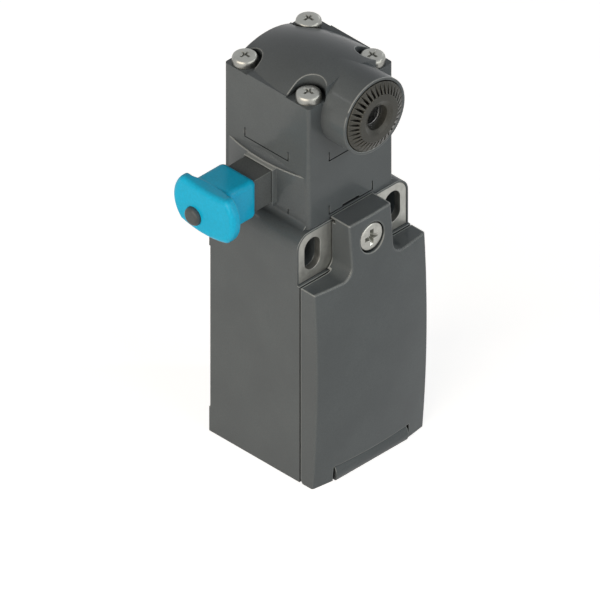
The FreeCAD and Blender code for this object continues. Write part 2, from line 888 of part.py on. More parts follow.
def cheek_round():
    """What is taken off the lower rear corner, so that the cover can swing about its pins."""
    reach = half_body + d.overcut
    corner = block("cheek_corner", (-reach, reach), (hinge_y, cover_back + d.overcut),
                   (-d.base_foot - d.overcut, hinge_z))
    keep = rod("cheek_keep", "x", cover_back - hinge_y, -reach, reach, y=hinge_y, z=hinge_z)
    return cut("cheek_waste", corner, keep)


def cover_gasket():
    inner = inner_half + d.press_gap
    outer = inner_half + d.gasket_width - d.press_gap
    y = (cover_back - d.gasket_thickness, -d.base_depth - d.press_gap)
    low, high = chamber_floor, -d.chamber_top
    reach = d.gasket_width - d.press_gap
    rim = block("gasket_rim", (-outer, outer), y, (low - reach, high + reach))
    hole = block("gasket_hole", (-inner, inner), (y[0] - d.overcut, y[1] + d.overcut), (low, high))
    finish("cover_gasket", cut("cover_gasket", rim, hole))


def cover_screw():
    head_back_y = d.cover_screw_head_height - cover_screw_face
    head = rod("cover_screw_head", "y", d.cover_screw_head_radius, -cover_screw_face, head_back_y,
               z=d.cover_screw_up)
    shank = rod("cover_screw_shank", "y", d.cover_screw_radius, head_back_y, -cover_screw_tip,
                z=d.cover_screw_up)
    finish("cover_screw", fuse("cover_screw", head, shank))


# Reset module, slider and knob

def reset_pad():
    """Bulged pad on the left face: a slice of an upright drum with a coved top."""
    bulge = d.pad_bulge
    radius = (d.pad_half * d.pad_half + bulge * bulge) / (bulge * 2)
    centre = radius - half_head - bulge
    low = neck_top
    high = pad_top + bulge
    drum = rod("pad_drum", "z", radius, low, high, x=centre, y=axis_y)
    slab = block("pad_slab", (-half_head - bulge, -half_head + d.lug_depth),
                 (axis_y - d.pad_half, axis_y + d.pad_half), (low, high))
    cove = DOC.addObject("Part::Torus", "pad_cove")
    bind(cove, "Radius1", radius)
    bind(cove, "Radius2", bulge)
    place(cove, centre, axis_y, high)
    return cut("reset_pad", common("pad_lens", slab, drum), cove)


def reset_frame(edge):
    """True for the edges of the frame that look outwards."""
    return edge.BoundBox.XMax < -frame_reach.number + 1e-6


def reset_module():
    y_half = d.slider_width / 2 + d.frame_gap
    z_half = d.slider_height / 2 + d.frame_gap
    wide = y_half + d.frame_wall
    frame = block("slider_frame", (-frame_reach, -half_head + d.overcut), (axis_y - wide, axis_y + wide),
                  (neck_top, reset_z + z_half + d.frame_wall))
    frame = rounded("slider_frame_soft", frame, d.frame_wall / 2, reset_frame)
    core = stack_block("module_core", neck_top, module_top)
    solid = fuse("module_solid", core, reset_pad(), frame, *lugs("module_lug", neck_top))
    tools = [
        block("slider_window", (-frame_reach - d.overcut, -latch_left + d.overcut),
              (axis_y - y_half, axis_y + y_half), (reset_z - z_half, reset_z + z_half)),
        block("latch_chamber", (-latch_left, latch_right),
              (axis_y - d.latch_chamber_half, axis_y + d.latch_chamber_half),
              (latch_floor, latch_roof)),
        rod("module_shaftway", "z", d.plunger_shaftway, neck_top - d.overcut, module_top + d.overcut,
            y=axis_y),
        block("lug_slot", (-d.lug_slot / 2, d.lug_slot / 2),
              (head_front - d.overcut, head_front + d.lug_depth + d.overcut),
              (neck_top - d.lug_height - d.overcut, neck_top - d.lug_height + d.lug_slot_height)),
        ring("head_gasket_groove", gasket_outer, gasket_inner, module_top - d.gasket_thickness,
             module_top + d.overcut),
        ring("neck_gasket_groove", gasket_outer, gasket_inner, neck_top - d.overcut,
             neck_top + d.gasket_thickness),
    ]
    tools += screw_holes("module_hole", d.screw_radius + d.hole_gap,
                         neck_top - d.overcut, module_top + d.overcut)
    tools += lugs("module_notch", module_top, d.lug_gap)
    finish("reset_module", cut("reset_module", solid, *tools))


gasket_inner = d.plunger_well + d.hole_gap * 2
gasket_outer = gasket_inner + d.gasket_width


def stack_gaskets():
    gap = d.press_gap
    finish("head_gasket", ring("head_gasket", gasket_outer - gap, gasket_inner + gap,
                               module_top - d.gasket_thickness, module_top))
    finish("neck_gasket", ring("neck_gasket", gasket_outer - gap, gasket_inner + gap,
                               neck_top, neck_top + d.gasket_thickness))


def reset_slider():
    """Square bar with a latch tongue: a keyhole over the plunger's collar, and a spring lug."""
    half_y = d.slider_width / 2
    half_z = d.slider_height / 2
    bar = block("slider_bar", (-slider_outer, -slider_inner), (axis_y - half_y, axis_y + half_y),
                (reset_z - half_z, reset_z + half_z))
    tongue_low = collar_top + d.slide_gap
    tongue_high = tongue_low + d.tongue_thickness
    tongue = block("latch_tongue", (-slider_inner - d.overcut, tongue_end),
                   (axis_y - half_y, axis_y + half_y), (tongue_low, tongue_high))
    inner = axis_y + d.reset_spring_offset - d.reset_lug_width
    outer = axis_y + d.reset_spring_offset + d.reset_lug_width
    lug_x = (d.reset_lug_left, d.reset_lug_left + d.reset_lug_width)
    arm = block("spring_arm", lug_x, (axis_y + half_y - d.overcut, outer), (tongue_low, tongue_high))
    foot = block("spring_lug", lug_x, (inner, outer), (latch_floor + d.slide_gap, tongue_high))
    slot_half = d.plunger_radius + d.hole_gap
    slot = block("keyhole_slot", (0, d.reset_travel), (axis_y - slot_half, axis_y + slot_half),
                 (tongue_low - d.overcut, tongue_high + d.overcut))
    end = rod("keyhole_end", "z", slot_half, tongue_low - d.overcut, tongue_high + d.overcut, y=axis_y)
    eye = rod("keyhole_eye", "z", d.collar_radius + d.hole_gap,
              tongue_low - d.overcut, tongue_high + d.overcut, x=d.reset_travel, y=axis_y)
    solid = fuse("slider_solid", bar, tongue, arm, foot)
    finish("reset_slider", cut("reset_slider", solid, slot, end, eye))


def knob_flange():
    """Flange outline, waisted at the top and round at its ends, pushed over the whole knob."""
    body = new_body("knob_flange")
    face = sketch(body, "flange_outline", "YZ_Plane", -flange_outer)
    left = axis_y - d.flange_shoulder
    right = axis_y + d.flange_shoulder
    top = reset_z + d.flange_top
    low = reset_z - d.flange_bottom
    chord = (top - low) / 2
    bulge = d.flange_width / 2 - d.flange_shoulder
    end_radius = (chord * chord + bulge * bulge) / (bulge * 2)
    outline(face, [(left, low), (right, low), (right, top), (left, top)], {
        0: (d.flange_bottom_radius, 1), 1: (end_radius, 1),
        2: (d.flange_top_radius, -1), 3: (end_radius, 1)})
    pad(body, "flange_pad", face, flange_outer)

    def flange_rim(edge):
        """True for the rim of the flange that looks outwards."""
        return edge.BoundBox.XMax < -flange_outer.number + 1e-6

    cornered = rounded("knob_flange_corners", body, d.flange_corner_radius,
                       lambda edge: edge.BoundBox.XLength > 1)
    return rounded("knob_flange_soft", cornered, d.flange_rim_radius, flange_rim)


def reset_knob():
    """Square grip that runs out into a finger flange with a hollow root."""
    half_y = d.knob_width / 2
    y = (axis_y - half_y, axis_y + half_y)
    z = (reset_z - d.knob_drop, reset_z + d.knob_rise)
    grip = block("knob_grip", (-flange_outer, -knob_inner), y, z)
    grip = rounded("knob_grip_soft", grip, d.knob_edge_radius,
                   lambda edge: edge.BoundBox.XMin > -flange_outer.number + 1e-6 or edge.BoundBox.XLength > 1)
    wide = d.flange_width
    plate = block("knob_plate", (-flange_outer, -knob_outer), (axis_y - wide, axis_y + wide),
                  (reset_z - wide, reset_z + wide))

    def grip_root(edge):
        """True for the edges where the grip meets the flange."""
        box = edge.BoundBox
        inside = box.YMin > y[0].number - 1e-6 and box.YMax < y[1].number + 1e-6
        return inside and box.XLength < 1e-6 and abs(box.XMin + knob_outer.number) < 1e-6

    whole = rounded("knob_root", fuse("knob_solid", grip, plate), d.knob_root_radius, grip_root)
    shaped = common("knob_shaped", whole, knob_flange())
    gap = d.press_gap
    socket_y = d.slider_width / 2 + gap
    socket_z = d.slider_height / 2 + gap
    socket = block("knob_socket", (-slider_outer - gap, -knob_inner + d.overcut),
                   (axis_y - socket_y, axis_y + socket_y), (reset_z - socket_z, reset_z + socket_z))
    hole = rod("knob_pin_hole", "x", d.pin_radius + gap, -flange_outer - d.overcut,
               d.pin_depth - flange_outer, y=axis_y + d.pin_back, z=reset_z - d.pin_drop)
    finish("reset_knob", cut("reset_knob", shaped, socket, hole))


def reset_pin():
    face = -flange_outer - d.pin_proud
    pin = rod("reset_pin_round", "x", d.pin_radius, face, d.pin_depth - flange_outer,
              y=axis_y + d.pin_back, z=reset_z - d.pin_drop)
    finish("reset_pin", rounded("reset_pin", pin, d.pin_round,
                                lambda edge: edge.BoundBox.XMax < face.number + 1e-6))


def reset_spring():
    spring = coil("reset_spring", "x", d.reset_coil, -latch_left, d.reset_lug_left, d.reset_turns,
                  y=axis_y + d.reset_spring_offset, z=latch_floor + d.reset_spring_up)
    finish("reset_spring", spring)


# Head, shaft and drive disc

def head_vault():
    """Roof of the head, crowned both ways by a slice of a large ring."""
    crown = DOC.addObject("Part::Torus", "head_crown")
    bind(crown, "Radius1", d.crown_along_radius - d.crown_across_radius)
    bind(crown, "Radius2", d.crown_across_radius)
    crown.Placement = Placement(Vector(), AXIS_TURN["x"])
    place(crown, 0, crest_y, crest_z - d.crown_along_radius)
    return common("head_vault", stack_block("head_column", module_top, crest_z + d.overcut), crown)


def corner_room(name, right, back):
    """Open corner round one screw head: a round pocket that runs out to the side of the head."""
    outer = half_head + d.overcut
    centre_y = axis_y + screw_reach * back
    top = crest_z + d.overcut
    x = sorted((screw_reach * right, outer * right), key=lambda end: end.number)
    y = sorted((centre_y - d.pocket_radius * back, axis_y + outer * back), key=lambda end: end.number)
    side = block(f"{name}_side", x, y, (head_seat, top))
    return fuse(name, side, rod(f"{name}_round", "z", d.pocket_radius, head_seat, top,
                                x=screw_reach * right, y=centre_y))


def head_body():
    boss = rod("head_boss", "y", d.boss_radius, -boss_front, crest_y, z=shaft_z)
    flat = stack_block("head_flat", module_top, head_seat + d.roof_step)
    solid = fuse("head_solid", flat, head_vault(), boss, *lugs("head_lug", module_top))
    tools = [corner_room(f"screw_corner_{index}", *corner) for index, corner in enumerate(SCREW_CORNERS)]
    tools += screw_holes("head_hole", d.screw_radius + d.hole_gap,
                         module_top - d.overcut, head_seat + d.overcut)
    tools += [
        rod("disc_recess", "y", d.disc_radius + d.slide_gap, -boss_front - d.overcut, recess_floor,
            z=shaft_z),
        rod("bushing_bore", "y", d.bushing_radius + d.press_gap, recess_floor - d.overcut, -bushing_back,
            z=shaft_z),
        rod("head_cavity", "y", d.head_cavity_radius, -bushing_back - d.overcut, -rear_seat, z=shaft_z),
        rod("rear_bore", "y", d.journal_radius + d.run_gap, -rear_seat - d.overcut,
            d.hole_gap * 2 - journal_end, z=shaft_z),
        rod("plunger_room", "z", d.plunger_well, module_top - d.overcut, shaft_z, y=axis_y),
    ]
    finish("head_body", cut("head_body", solid, *tools))


def head_screws():
    """Pan head screws that clamp head, module and neck."""
    screws = []
    for index, (right, back) in enumerate(SCREW_CORNERS):
        name = f"head_screw_{index}"
        seat = head_seat
        dome = d.screw_head_dome
        ball = (d.screw_head_radius * d.screw_head_radius + dome * dome) / (dome * 2)
        side = seat + d.screw_head_side
        screw = turned(name, [
            (0, screw_tip), (d.screw_radius, screw_tip), (d.screw_radius, seat),
            (d.screw_head_radius, seat), (d.screw_head_radius, side), (0, side + dome),
        ], {4: (ball, 1)})
        place(screw, screw_reach * right, axis_y + screw_reach * back, 0)
        screws.append(screw)
    finish("head_screws", group("head_screws", screws))


def sleeve(node, outer, inner, low, high):
    """Plain bush on the shaft's axis."""
    tube = rod(f"{node}_tube", "y", outer, low, high, z=shaft_z)
    bore = rod(f"{node}_bore", "y", inner, low - d.overcut, high + d.overcut, z=shaft_z)
    finish(node, cut(node, tube, bore))


def shaft_bearings():
    sleeve("shaft_bushing", d.bushing_radius, d.shaft_radius + d.run_gap, -bushing_front, -bushing_back)
    sleeve("shaft_seal", d.bushing_radius, d.shaft_radius + d.run_gap, recess_floor, -bushing_front)


def clip_place():
    """Low and high Y of the shaft clip, just behind the bushing."""
    high = d.clip_thickness + d.slide_gap - bushing_back
    return high - d.clip_thickness, high


def actuator_shaft():
    """Stepped shaft with drive flats in front, a cam flat under its middle and a rear journal."""
    front = rod("shaft_front_rod", "y", d.shaft_radius, -shaft_front, -cam_back, z=shaft_z)
    rear = rod("shaft_rear_rod", "y", d.journal_radius, -cam_back - d.overcut, -journal_end, z=shaft_z)
    reach = d.shaft_radius + d.overcut
    low, high = clip_place()
    tools = [
        block("cam_flat_waste", (-reach, reach), (-cam_front, -cam_back),
              (shaft_z - reach, shaft_z - d.cam_flat)),
        rod("lever_thread", "y", d.lever_thread_radius, -shaft_front - d.overcut,
            d.lever_thread_length - shaft_front, z=shaft_z),
        cut("clip_groove_ring",
            rod("clip_groove_outer", "y", reach, low - d.press_gap, high + d.press_gap, z=shaft_z),
            rod("clip_groove_inner", "y", d.shaft_radius - d.clip_groove,
                low - d.overcut, high + d.overcut, z=shaft_z)),
    ]
    for side in SIDES:
        ends = sorted((d.shaft_flat * side, reach * side), key=lambda end: end.number)
        tools.append(block(f"drive_flat_{side + 1}", ends,
                           (-shaft_front - d.overcut, recess_floor - d.slide_gap),
                           (shaft_z - reach, shaft_z + reach)))
    finish("actuator_shaft", cut("actuator_shaft", fuse("shaft_solid", front, rear), *tools))


def shaft_clip():
    """Open ring in the shaft's groove, which bears on the bushing."""
    low, high = clip_place()
    hole = d.shaft_radius - d.clip_groove + d.press_gap
    disc = rod("clip_disc", "y", d.clip_radius, low, high, z=shaft_z)
    eye = rod("clip_eye", "y", hole, low - d.overcut, high + d.overcut, z=shaft_z)
    mouth = block("clip_mouth", (-d.clip_mouth / 2, d.clip_mouth / 2), (low - d.overcut, high + d.overcut),
                  (shaft_z, shaft_z + d.clip_radius + d.overcut))
    finish("shaft_clip", cut("shaft_clip", disc, eye, mouth))


def shaft_spring():
    finish("shaft_spring", coil("shaft_spring", "y", d.shaft_coil, d.slide_gap - cam_back,
                                -rear_seat - d.slide_gap, d.shaft_turns, z=shaft_z))


def drive_disc():
    """Turned disc with serrations on its chamfer, a countersunk hole and a socket for the shaft."""
    back = disc_front - boss_front + d.disc_recess - d.slide_gap
    web = disc_front - shaft_front
    body = turned("disc_turned", [
        (d.disc_hole_radius, -back), (d.disc_radius, -back),
        (d.disc_radius, -d.disc_chamfer_depth - d.slide_gap), (d.tooth_outer, -d.disc_chamfer_depth),
        (d.tooth_inner, 0), (d.disc_sink_radius, 0), (d.disc_hole_radius, -d.disc_sink_depth),
    ])
    place(body, 0, -disc_front, shaft_z)
    body.Placement.Rotation = Rotation(Vector(1, 0, 0), 90)
    valley = sketch(body, "serration_outline", "XZ_Plane", d.disc_radius)
    half = d.tooth_depth / 2
    tip = -d.disc_chamfer_depth - d.tooth_sink
    flank = tip + d.tooth_depth
    outline(valley, [(0, tip), (half, flank), (half, d.overcut), (-half, d.overcut), (-half, flank)])
    groove = pocket(body, "serration", valley, d.disc_radius - d.tooth_inner)
    pattern = body.newObject("PartDesign::PolarPattern", "serrations")
    pattern.Originals = [groove]
    upright_axis = next(item for item in body.Origin.OriginFeatures if item.Role == "Z_Axis")
    pattern.Axis = (upright_axis, [""])
    pattern.Angle = 360
    bind(pattern, "Occurrences", d.tooth_count)
    body.Tip = pattern
    gap = d.press_gap
    socket = common("disc_socket",
                    rod("disc_socket_round", "y", d.shaft_radius + gap, -shaft_front - gap,
                        recess_floor + d.overcut, z=shaft_z),
                    block("disc_socket_flats", (-d.shaft_flat - gap, d.shaft_flat + gap),
                          (-shaft_front - gap, recess_floor + d.overcut),
                          (shaft_z - d.disc_radius, shaft_z + d.disc_radius)))
    finish("drive_disc", cut("drive_disc", body, socket))


# Plunger and contacts

def head_plunger():
    """Mushroom headed rod with a collar that the latch holds down."""
    neck = plunger_top - d.plunger_head_thickness
    collar_low = collar_top - d.collar_thickness
    body = turned("head_plunger", [
        (0, carrier_top), (d.plunger_radius, carrier_top), (d.plunger_radius, collar_low),
        (d.collar_radius, collar_low), (d.collar_radius, collar_top), (d.plunger_radius, collar_top),
        (d.plunger_radius, neck), (d.plunger_head_radius, neck), (d.plunger_head_radius, plunger_top),
        (0, plunger_top),
    ])
    place(body, 0, axis_y, 0)
    finish("head_plunger", body)


def plunger_spring():
    finish("plunger_spring", coil("plunger_spring", "z", d.plunger_coil, spring_seat,
                                  collar_top - d.collar_thickness, d.plunger_turns, y=axis_y))


CONTACT_LEVELS = {"upper": -upper_contact, "lower": -lower_contact}


def strip_blocks(name, side, level, grow):
    """Fixed contact: a finger beside the well, a leg to the front and a terminal plate."""
    thick = d.strip_thickness
    inner = d.strip_inner - grow
    outer = d.strip_outer + grow
    x = sorted((inner * side, outer * side), key=lambda end: end.number)
    half = d.strip_width / 2 + grow
    front = -terminal_front
    z = (level - grow, level + thick + grow)
    finger = block(f"{name}_finger", x, (axis_y - half, axis_y + half), z)
    leg_x = sorted(((terminal_across - half) * side, (terminal_across + half) * side),
                   key=lambda end: end.number)
    leg = block(f"{name}_leg", leg_x, (front + thick, axis_y), z)
    plate = block(f"{name}_plate", x, (front - grow, front + thick + grow),
                  (level - d.terminal_height + thick - grow, level + thick + grow))
    return [finger, leg, plate]


def each_contact():
    """Name, side and level of the four contacts."""
    for level_name, level in CONTACT_LEVELS.items():
        for side in SIDES:
            yield f"{level_name}_{'left' if side < 0 else 'right'}", side, level


def terminal_centre(side, level):
    return terminal_across * side, level + d.strip_thickness - d.terminal_height / 2


def contact_block():
    gap = d.block_gap
    solid = block("block_solid", (-block_half, block_half), (-block_front, -d.back_wall - gap),
                  (-block_bottom, -block_top))
    tools = [block("carrier_well", (-well_half, well_half),
                   (axis_y - well_half, axis_y + well_half), (-well_bottom, -block_top + d.overcut))]
    window = d.bridge_half + d.hole_gap * 2
    half = d.bridge_width / 2 + d.hole_gap
    for level_name, level in CONTACT_LEVELS.items():
        tools.append(block(f"window_{level_name}", (-window, window), (axis_y - half, axis_y + half),
                           (level - d.window_drop, level + d.strip_thickness + gap)))
    for name, side, level in each_contact():
        tools += strip_blocks(f"{name}_room", side, level, gap)
        x, z = terminal_centre(side, level)
        room = d.clamp_side / 2 + gap * 2
        tools.append(block(f"{name}_mouth", (x - room, x + room), (-block_front - d.overcut, -terminal_front),
                           (z - room, z + room)))
        tools.append(rod(f"{name}_thread", "y", d.terminal_screw_radius + gap, -terminal_front,
                         d.terminal_screw_length + d.hole_gap - terminal_front, x=x, z=z))
    for side in SIDES:
        tools.append(rod(f"block_hole_{side + 1}", "y", d.block_screw_radius + gap,
                         -block_front - d.overcut, 0, x=d.block_screw_across * side, z=block_screw_z))
    finish("contact_block", cut("contact_block", solid, *tools))


def fixed_contacts():
    strips = []
    for name, side, level in each_contact():
        x, z = terminal_centre(side, level)
        strip = fuse(f"{name}_strip", *strip_blocks(name, side, level, 0))
        hole = rod(f"{name}_hole", "y", d.terminal_screw_radius + d.press_gap, -terminal_front - d.overcut,
                   axis_y - d.strip_width, x=x, z=z)
        strips.append(cut(f"{name}_contact", strip, hole))
    finish("fixed_contacts", group("fixed_contacts", strips))


def terminals():
    """Square wire clamps and the screws that draw them down."""
    clamps = []
    screws = []
    for name, side, level in each_contact():
        x, z = terminal_centre(side, level)
        half = d.clamp_side / 2
        back = -terminal_front - d.press_gap
        face = back - d.clamp_thickness
        plate = block(f"{name}_clamp_plate", (x - half, x + half), (face, back), (z - half, z + half))
        hole = rod(f"{name}_clamp_hole", "y", d.terminal_screw_radius + d.press_gap,
                   face - d.overcut, back + d.overcut, x=x, z=z)
        clamps.append(cut(f"{name}_clamp", plate, hole))
        head = rod(f"{name}_screw_head", "y", d.terminal_screw_head, face - d.terminal_screw_height, face,
                   x=x, z=z)
        shank = rod(f"{name}_screw_shank", "y", d.terminal_screw_radius, face,
                    d.terminal_screw_length - terminal_front, x=x, z=z)
        screws.append(fuse(f"{name}_screw", head, shank))
    finish("terminal_clamps", group("terminal_clamps", clamps))
    finish("terminal_screws", group("terminal_screws", screws))


def contact_block_screws():
    screws = []
    for side in SIDES:
        spot = {"x": d.block_screw_across * side, "z": block_screw_z}
        head = rod(f"block_screw_head_{side + 1}", "y", d.block_screw_head,
                   -block_front - d.terminal_screw_height, -block_front, **spot)
        shank = rod(f"block_screw_shank_{side + 1}", "y", d.block_screw_radius, -block_front,
                    -d.back_wall / 2, **spot)
        screws.append(fuse(f"block_screw_{side + 1}", head, shank))
    finish("contact_block_screws", group("contact_block_screws", screws))


def contact_carrier():
    """Insulating slide that carries the bridges, pushed by the foot of the plunger."""
    half = d.carrier_half
    solid = block("carrier_solid", (-half, half), (axis_y - half, axis_y + half),
                  (-carrier_bottom, carrier_top))
    slots = []
    bridges = []
    wide = d.bridge_width / 2
    for level_name, level in CONTACT_LEVELS.items():
        high = level - d.contact_gap
        y = (axis_y - wide, axis_y + wide)
        z = (high - d.bridge_thickness, high)
        slots.append(block(f"bridge_slot_{level_name}", (-half - d.overcut, half + d.overcut), y, z))
        bridges.append(block(f"bridge_{level_name}", (-d.bridge_half, d.bridge_half), y, z))
    finish("contact_carrier", cut("contact_carrier", solid, *slots))
    finish("contact_bridges", group("contact_bridges", bridges))


def contact_spring():
    spring = coil("contact_spring", "z", d.contact_coil, -well_bottom, -carrier_bottom, d.contact_turns,
                  y=axis_y)
    finish("contact_spring", spring)


def build():
    base_housing()
    fixing_plate()
    screw_insert()
    hinge_pins()
    front_cover()
    cover_gasket()
    cover_screw()
    reset_module()
    stack_gaskets()
    reset_slider()
    reset_knob()
    reset_pin()
    reset_spring()
    head_body()
    head_screws()
    shaft_bearings()
    actuator_shaft()
    shaft_clip()
    shaft_spring()
    drive_disc()
    head_plunger()
    plunger_spring()
    contact_block()
    fixed_contacts()
    terminals()
    contact_block_screws()
    contact_carrier()
    contact_spring()


def write_parts():
    """Checks every object and writes one file for each sub-part."""
    DOC.recompute()
    faults = [item.Name for item in DOC.Objects if "Invalid" in item.State or "Error" in item.State]
    for node, thing in PARTS.items():
        if thing.Shape.isNull() or not thing.Shape.isValid() or not thing.Shape.Solids:
            faults.append(node)
    if faults:
        raise RuntimeError("not built: " + ", ".join(faults))
    os.makedirs("parts", exist_ok=True)
    for node, thing in PARTS.items():
        thing.Shape.exportStep(f"parts/{node}.step")
        print(node, len(thing.Shape.Solids), round(thing.Shape.Volume, 2))


build()
write_parts()
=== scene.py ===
# %% [markdown]
# # A position switch, dressed for its picture
# The solids come from the part's own frame: every moulding, screw and spring is already in
# its true place and size. This lesson gives them their finishes, adds the details that are too
# fine for the solids, and sets up the light and the camera. Lengths are in metres, and MM turns
# a size in millimetres into one.

# %% Load the frame
import json
import math

import bmesh
import bpy
from mathutils import Matrix, Vector


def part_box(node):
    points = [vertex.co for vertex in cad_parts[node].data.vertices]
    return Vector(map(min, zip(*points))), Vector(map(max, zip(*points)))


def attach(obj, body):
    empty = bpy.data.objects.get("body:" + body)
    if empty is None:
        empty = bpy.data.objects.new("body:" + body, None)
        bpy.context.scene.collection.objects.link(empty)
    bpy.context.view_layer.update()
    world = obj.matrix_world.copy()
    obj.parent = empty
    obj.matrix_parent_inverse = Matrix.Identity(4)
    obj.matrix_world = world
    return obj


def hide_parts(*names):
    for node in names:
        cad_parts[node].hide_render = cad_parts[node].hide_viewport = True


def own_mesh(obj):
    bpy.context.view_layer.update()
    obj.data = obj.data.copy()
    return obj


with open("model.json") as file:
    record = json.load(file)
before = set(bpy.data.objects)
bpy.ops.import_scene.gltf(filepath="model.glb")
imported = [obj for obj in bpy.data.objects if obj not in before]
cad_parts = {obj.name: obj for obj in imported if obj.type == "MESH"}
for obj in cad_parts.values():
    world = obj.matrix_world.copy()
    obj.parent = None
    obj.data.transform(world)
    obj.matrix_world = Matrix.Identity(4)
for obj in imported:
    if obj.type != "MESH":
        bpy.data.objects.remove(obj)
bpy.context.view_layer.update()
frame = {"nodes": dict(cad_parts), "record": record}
MM = 0.001
scene = bpy.context.scene

# %% [markdown]
# ## One helper for every node
# Shader trees and geometry trees are built from the same bricks: a node, its settings, and what
# goes into its sockets. A single function that does all three keeps each tree as short as a
# recipe. Colours are written as sRGB codes, as a paint chart gives them, and turned to linear light.

# %% The node helper
def feed(tree, made, feeds):
    """Gives each socket a plain value, or a link from a socket or from a node's first output."""
    for key, value in feeds.items():
        source = value.outputs[0] if isinstance(value, bpy.types.Node) else value
        if isinstance(source, bpy.types.NodeSocket):
            tree.links.new(source, made.inputs[key])
        else:
            made.inputs[key].default_value = source


def node(tree, kind, feeds=None, **settings):
    """Adds a node, sets its properties and feeds its sockets."""
    made = tree.nodes.new(kind)
    for name, value in settings.items():
        setattr(made, name, value)
    feed(tree, made, feeds or {})
    return made


def linear(code):
    """Turns an sRGB hex colour into the linear colour that shaders expect."""
    parts = [int(code[place:place + 2], 16) / 255 for place in (1, 3, 5)]
    return tuple(part / 12.92 if part <= 0.04045 else ((part + 0.055) / 1.055) ** 2.4
                 for part in parts) + (1.0,)


print("mid grey in linear light:", [round(part, 3) for part in linear("#808080")])

# %% [markdown]
# ## Moulded plastic
# The housing is glass-filled polyamide from a spark-eroded mould. Such a mould prints a fine matt
# grain of about 0.15 mm on the surface, and the filler makes the grey a little cloudy. A picture
# could be wrapped on, but noise in object coordinates has no seams and keeps its size on every
# piece. The grain is drawn at 0.3 mm, twice its real size, so that it shows at all.
#
# No mould has a razor edge. The Bevel node bends the normals within a few tenths of a millimetre
# of an edge. Each edge is also painted paler, as a painted highlight, most where it looks up. Ambient
# occlusion that looks
# into the solid finds such edges: near an edge the next face is close. Where two housings meet, on a
# parting plane or round a lug, their edges are flush, so there both the rounding and the painted highlight
# are left out. Such seams are given as an axis and a place on it.
# Ambient occlusion that looks outwards finds the opposite, narrow gaps and deep holes, and there the
# colour is darkened to near black: painted shade. A thin coat stands for the skin of pure resin that sets
# against the mould: it leaves the faces matt and draws a sharp light along their edges.

# %% Plastic finishes
MATERIALS = {}
# near-black painted shade for narrow gaps and deep holes
PAINTED_GAP_SHADE = "#121313"
GAP_REACH = 5.0 * MM
GLOSS_SWAY = 0.05
# a Mix node repeats its socket names for each kind of data, so its colour sockets go by number
MIX_A, MIX_B, MIX_RESULT = 6, 7, 2


def new_material(name):
    """An empty shader tree with its output and its main shader."""
    made = bpy.data.materials.new(name)
    made.use_nodes = True
    tree = made.node_tree
    tree.nodes.clear()
    shader = node(tree, "ShaderNodeBsdfPrincipled")
    node(tree, "ShaderNodeOutputMaterial", {"Surface": shader})
    MATERIALS[name] = made
    return tree, shader


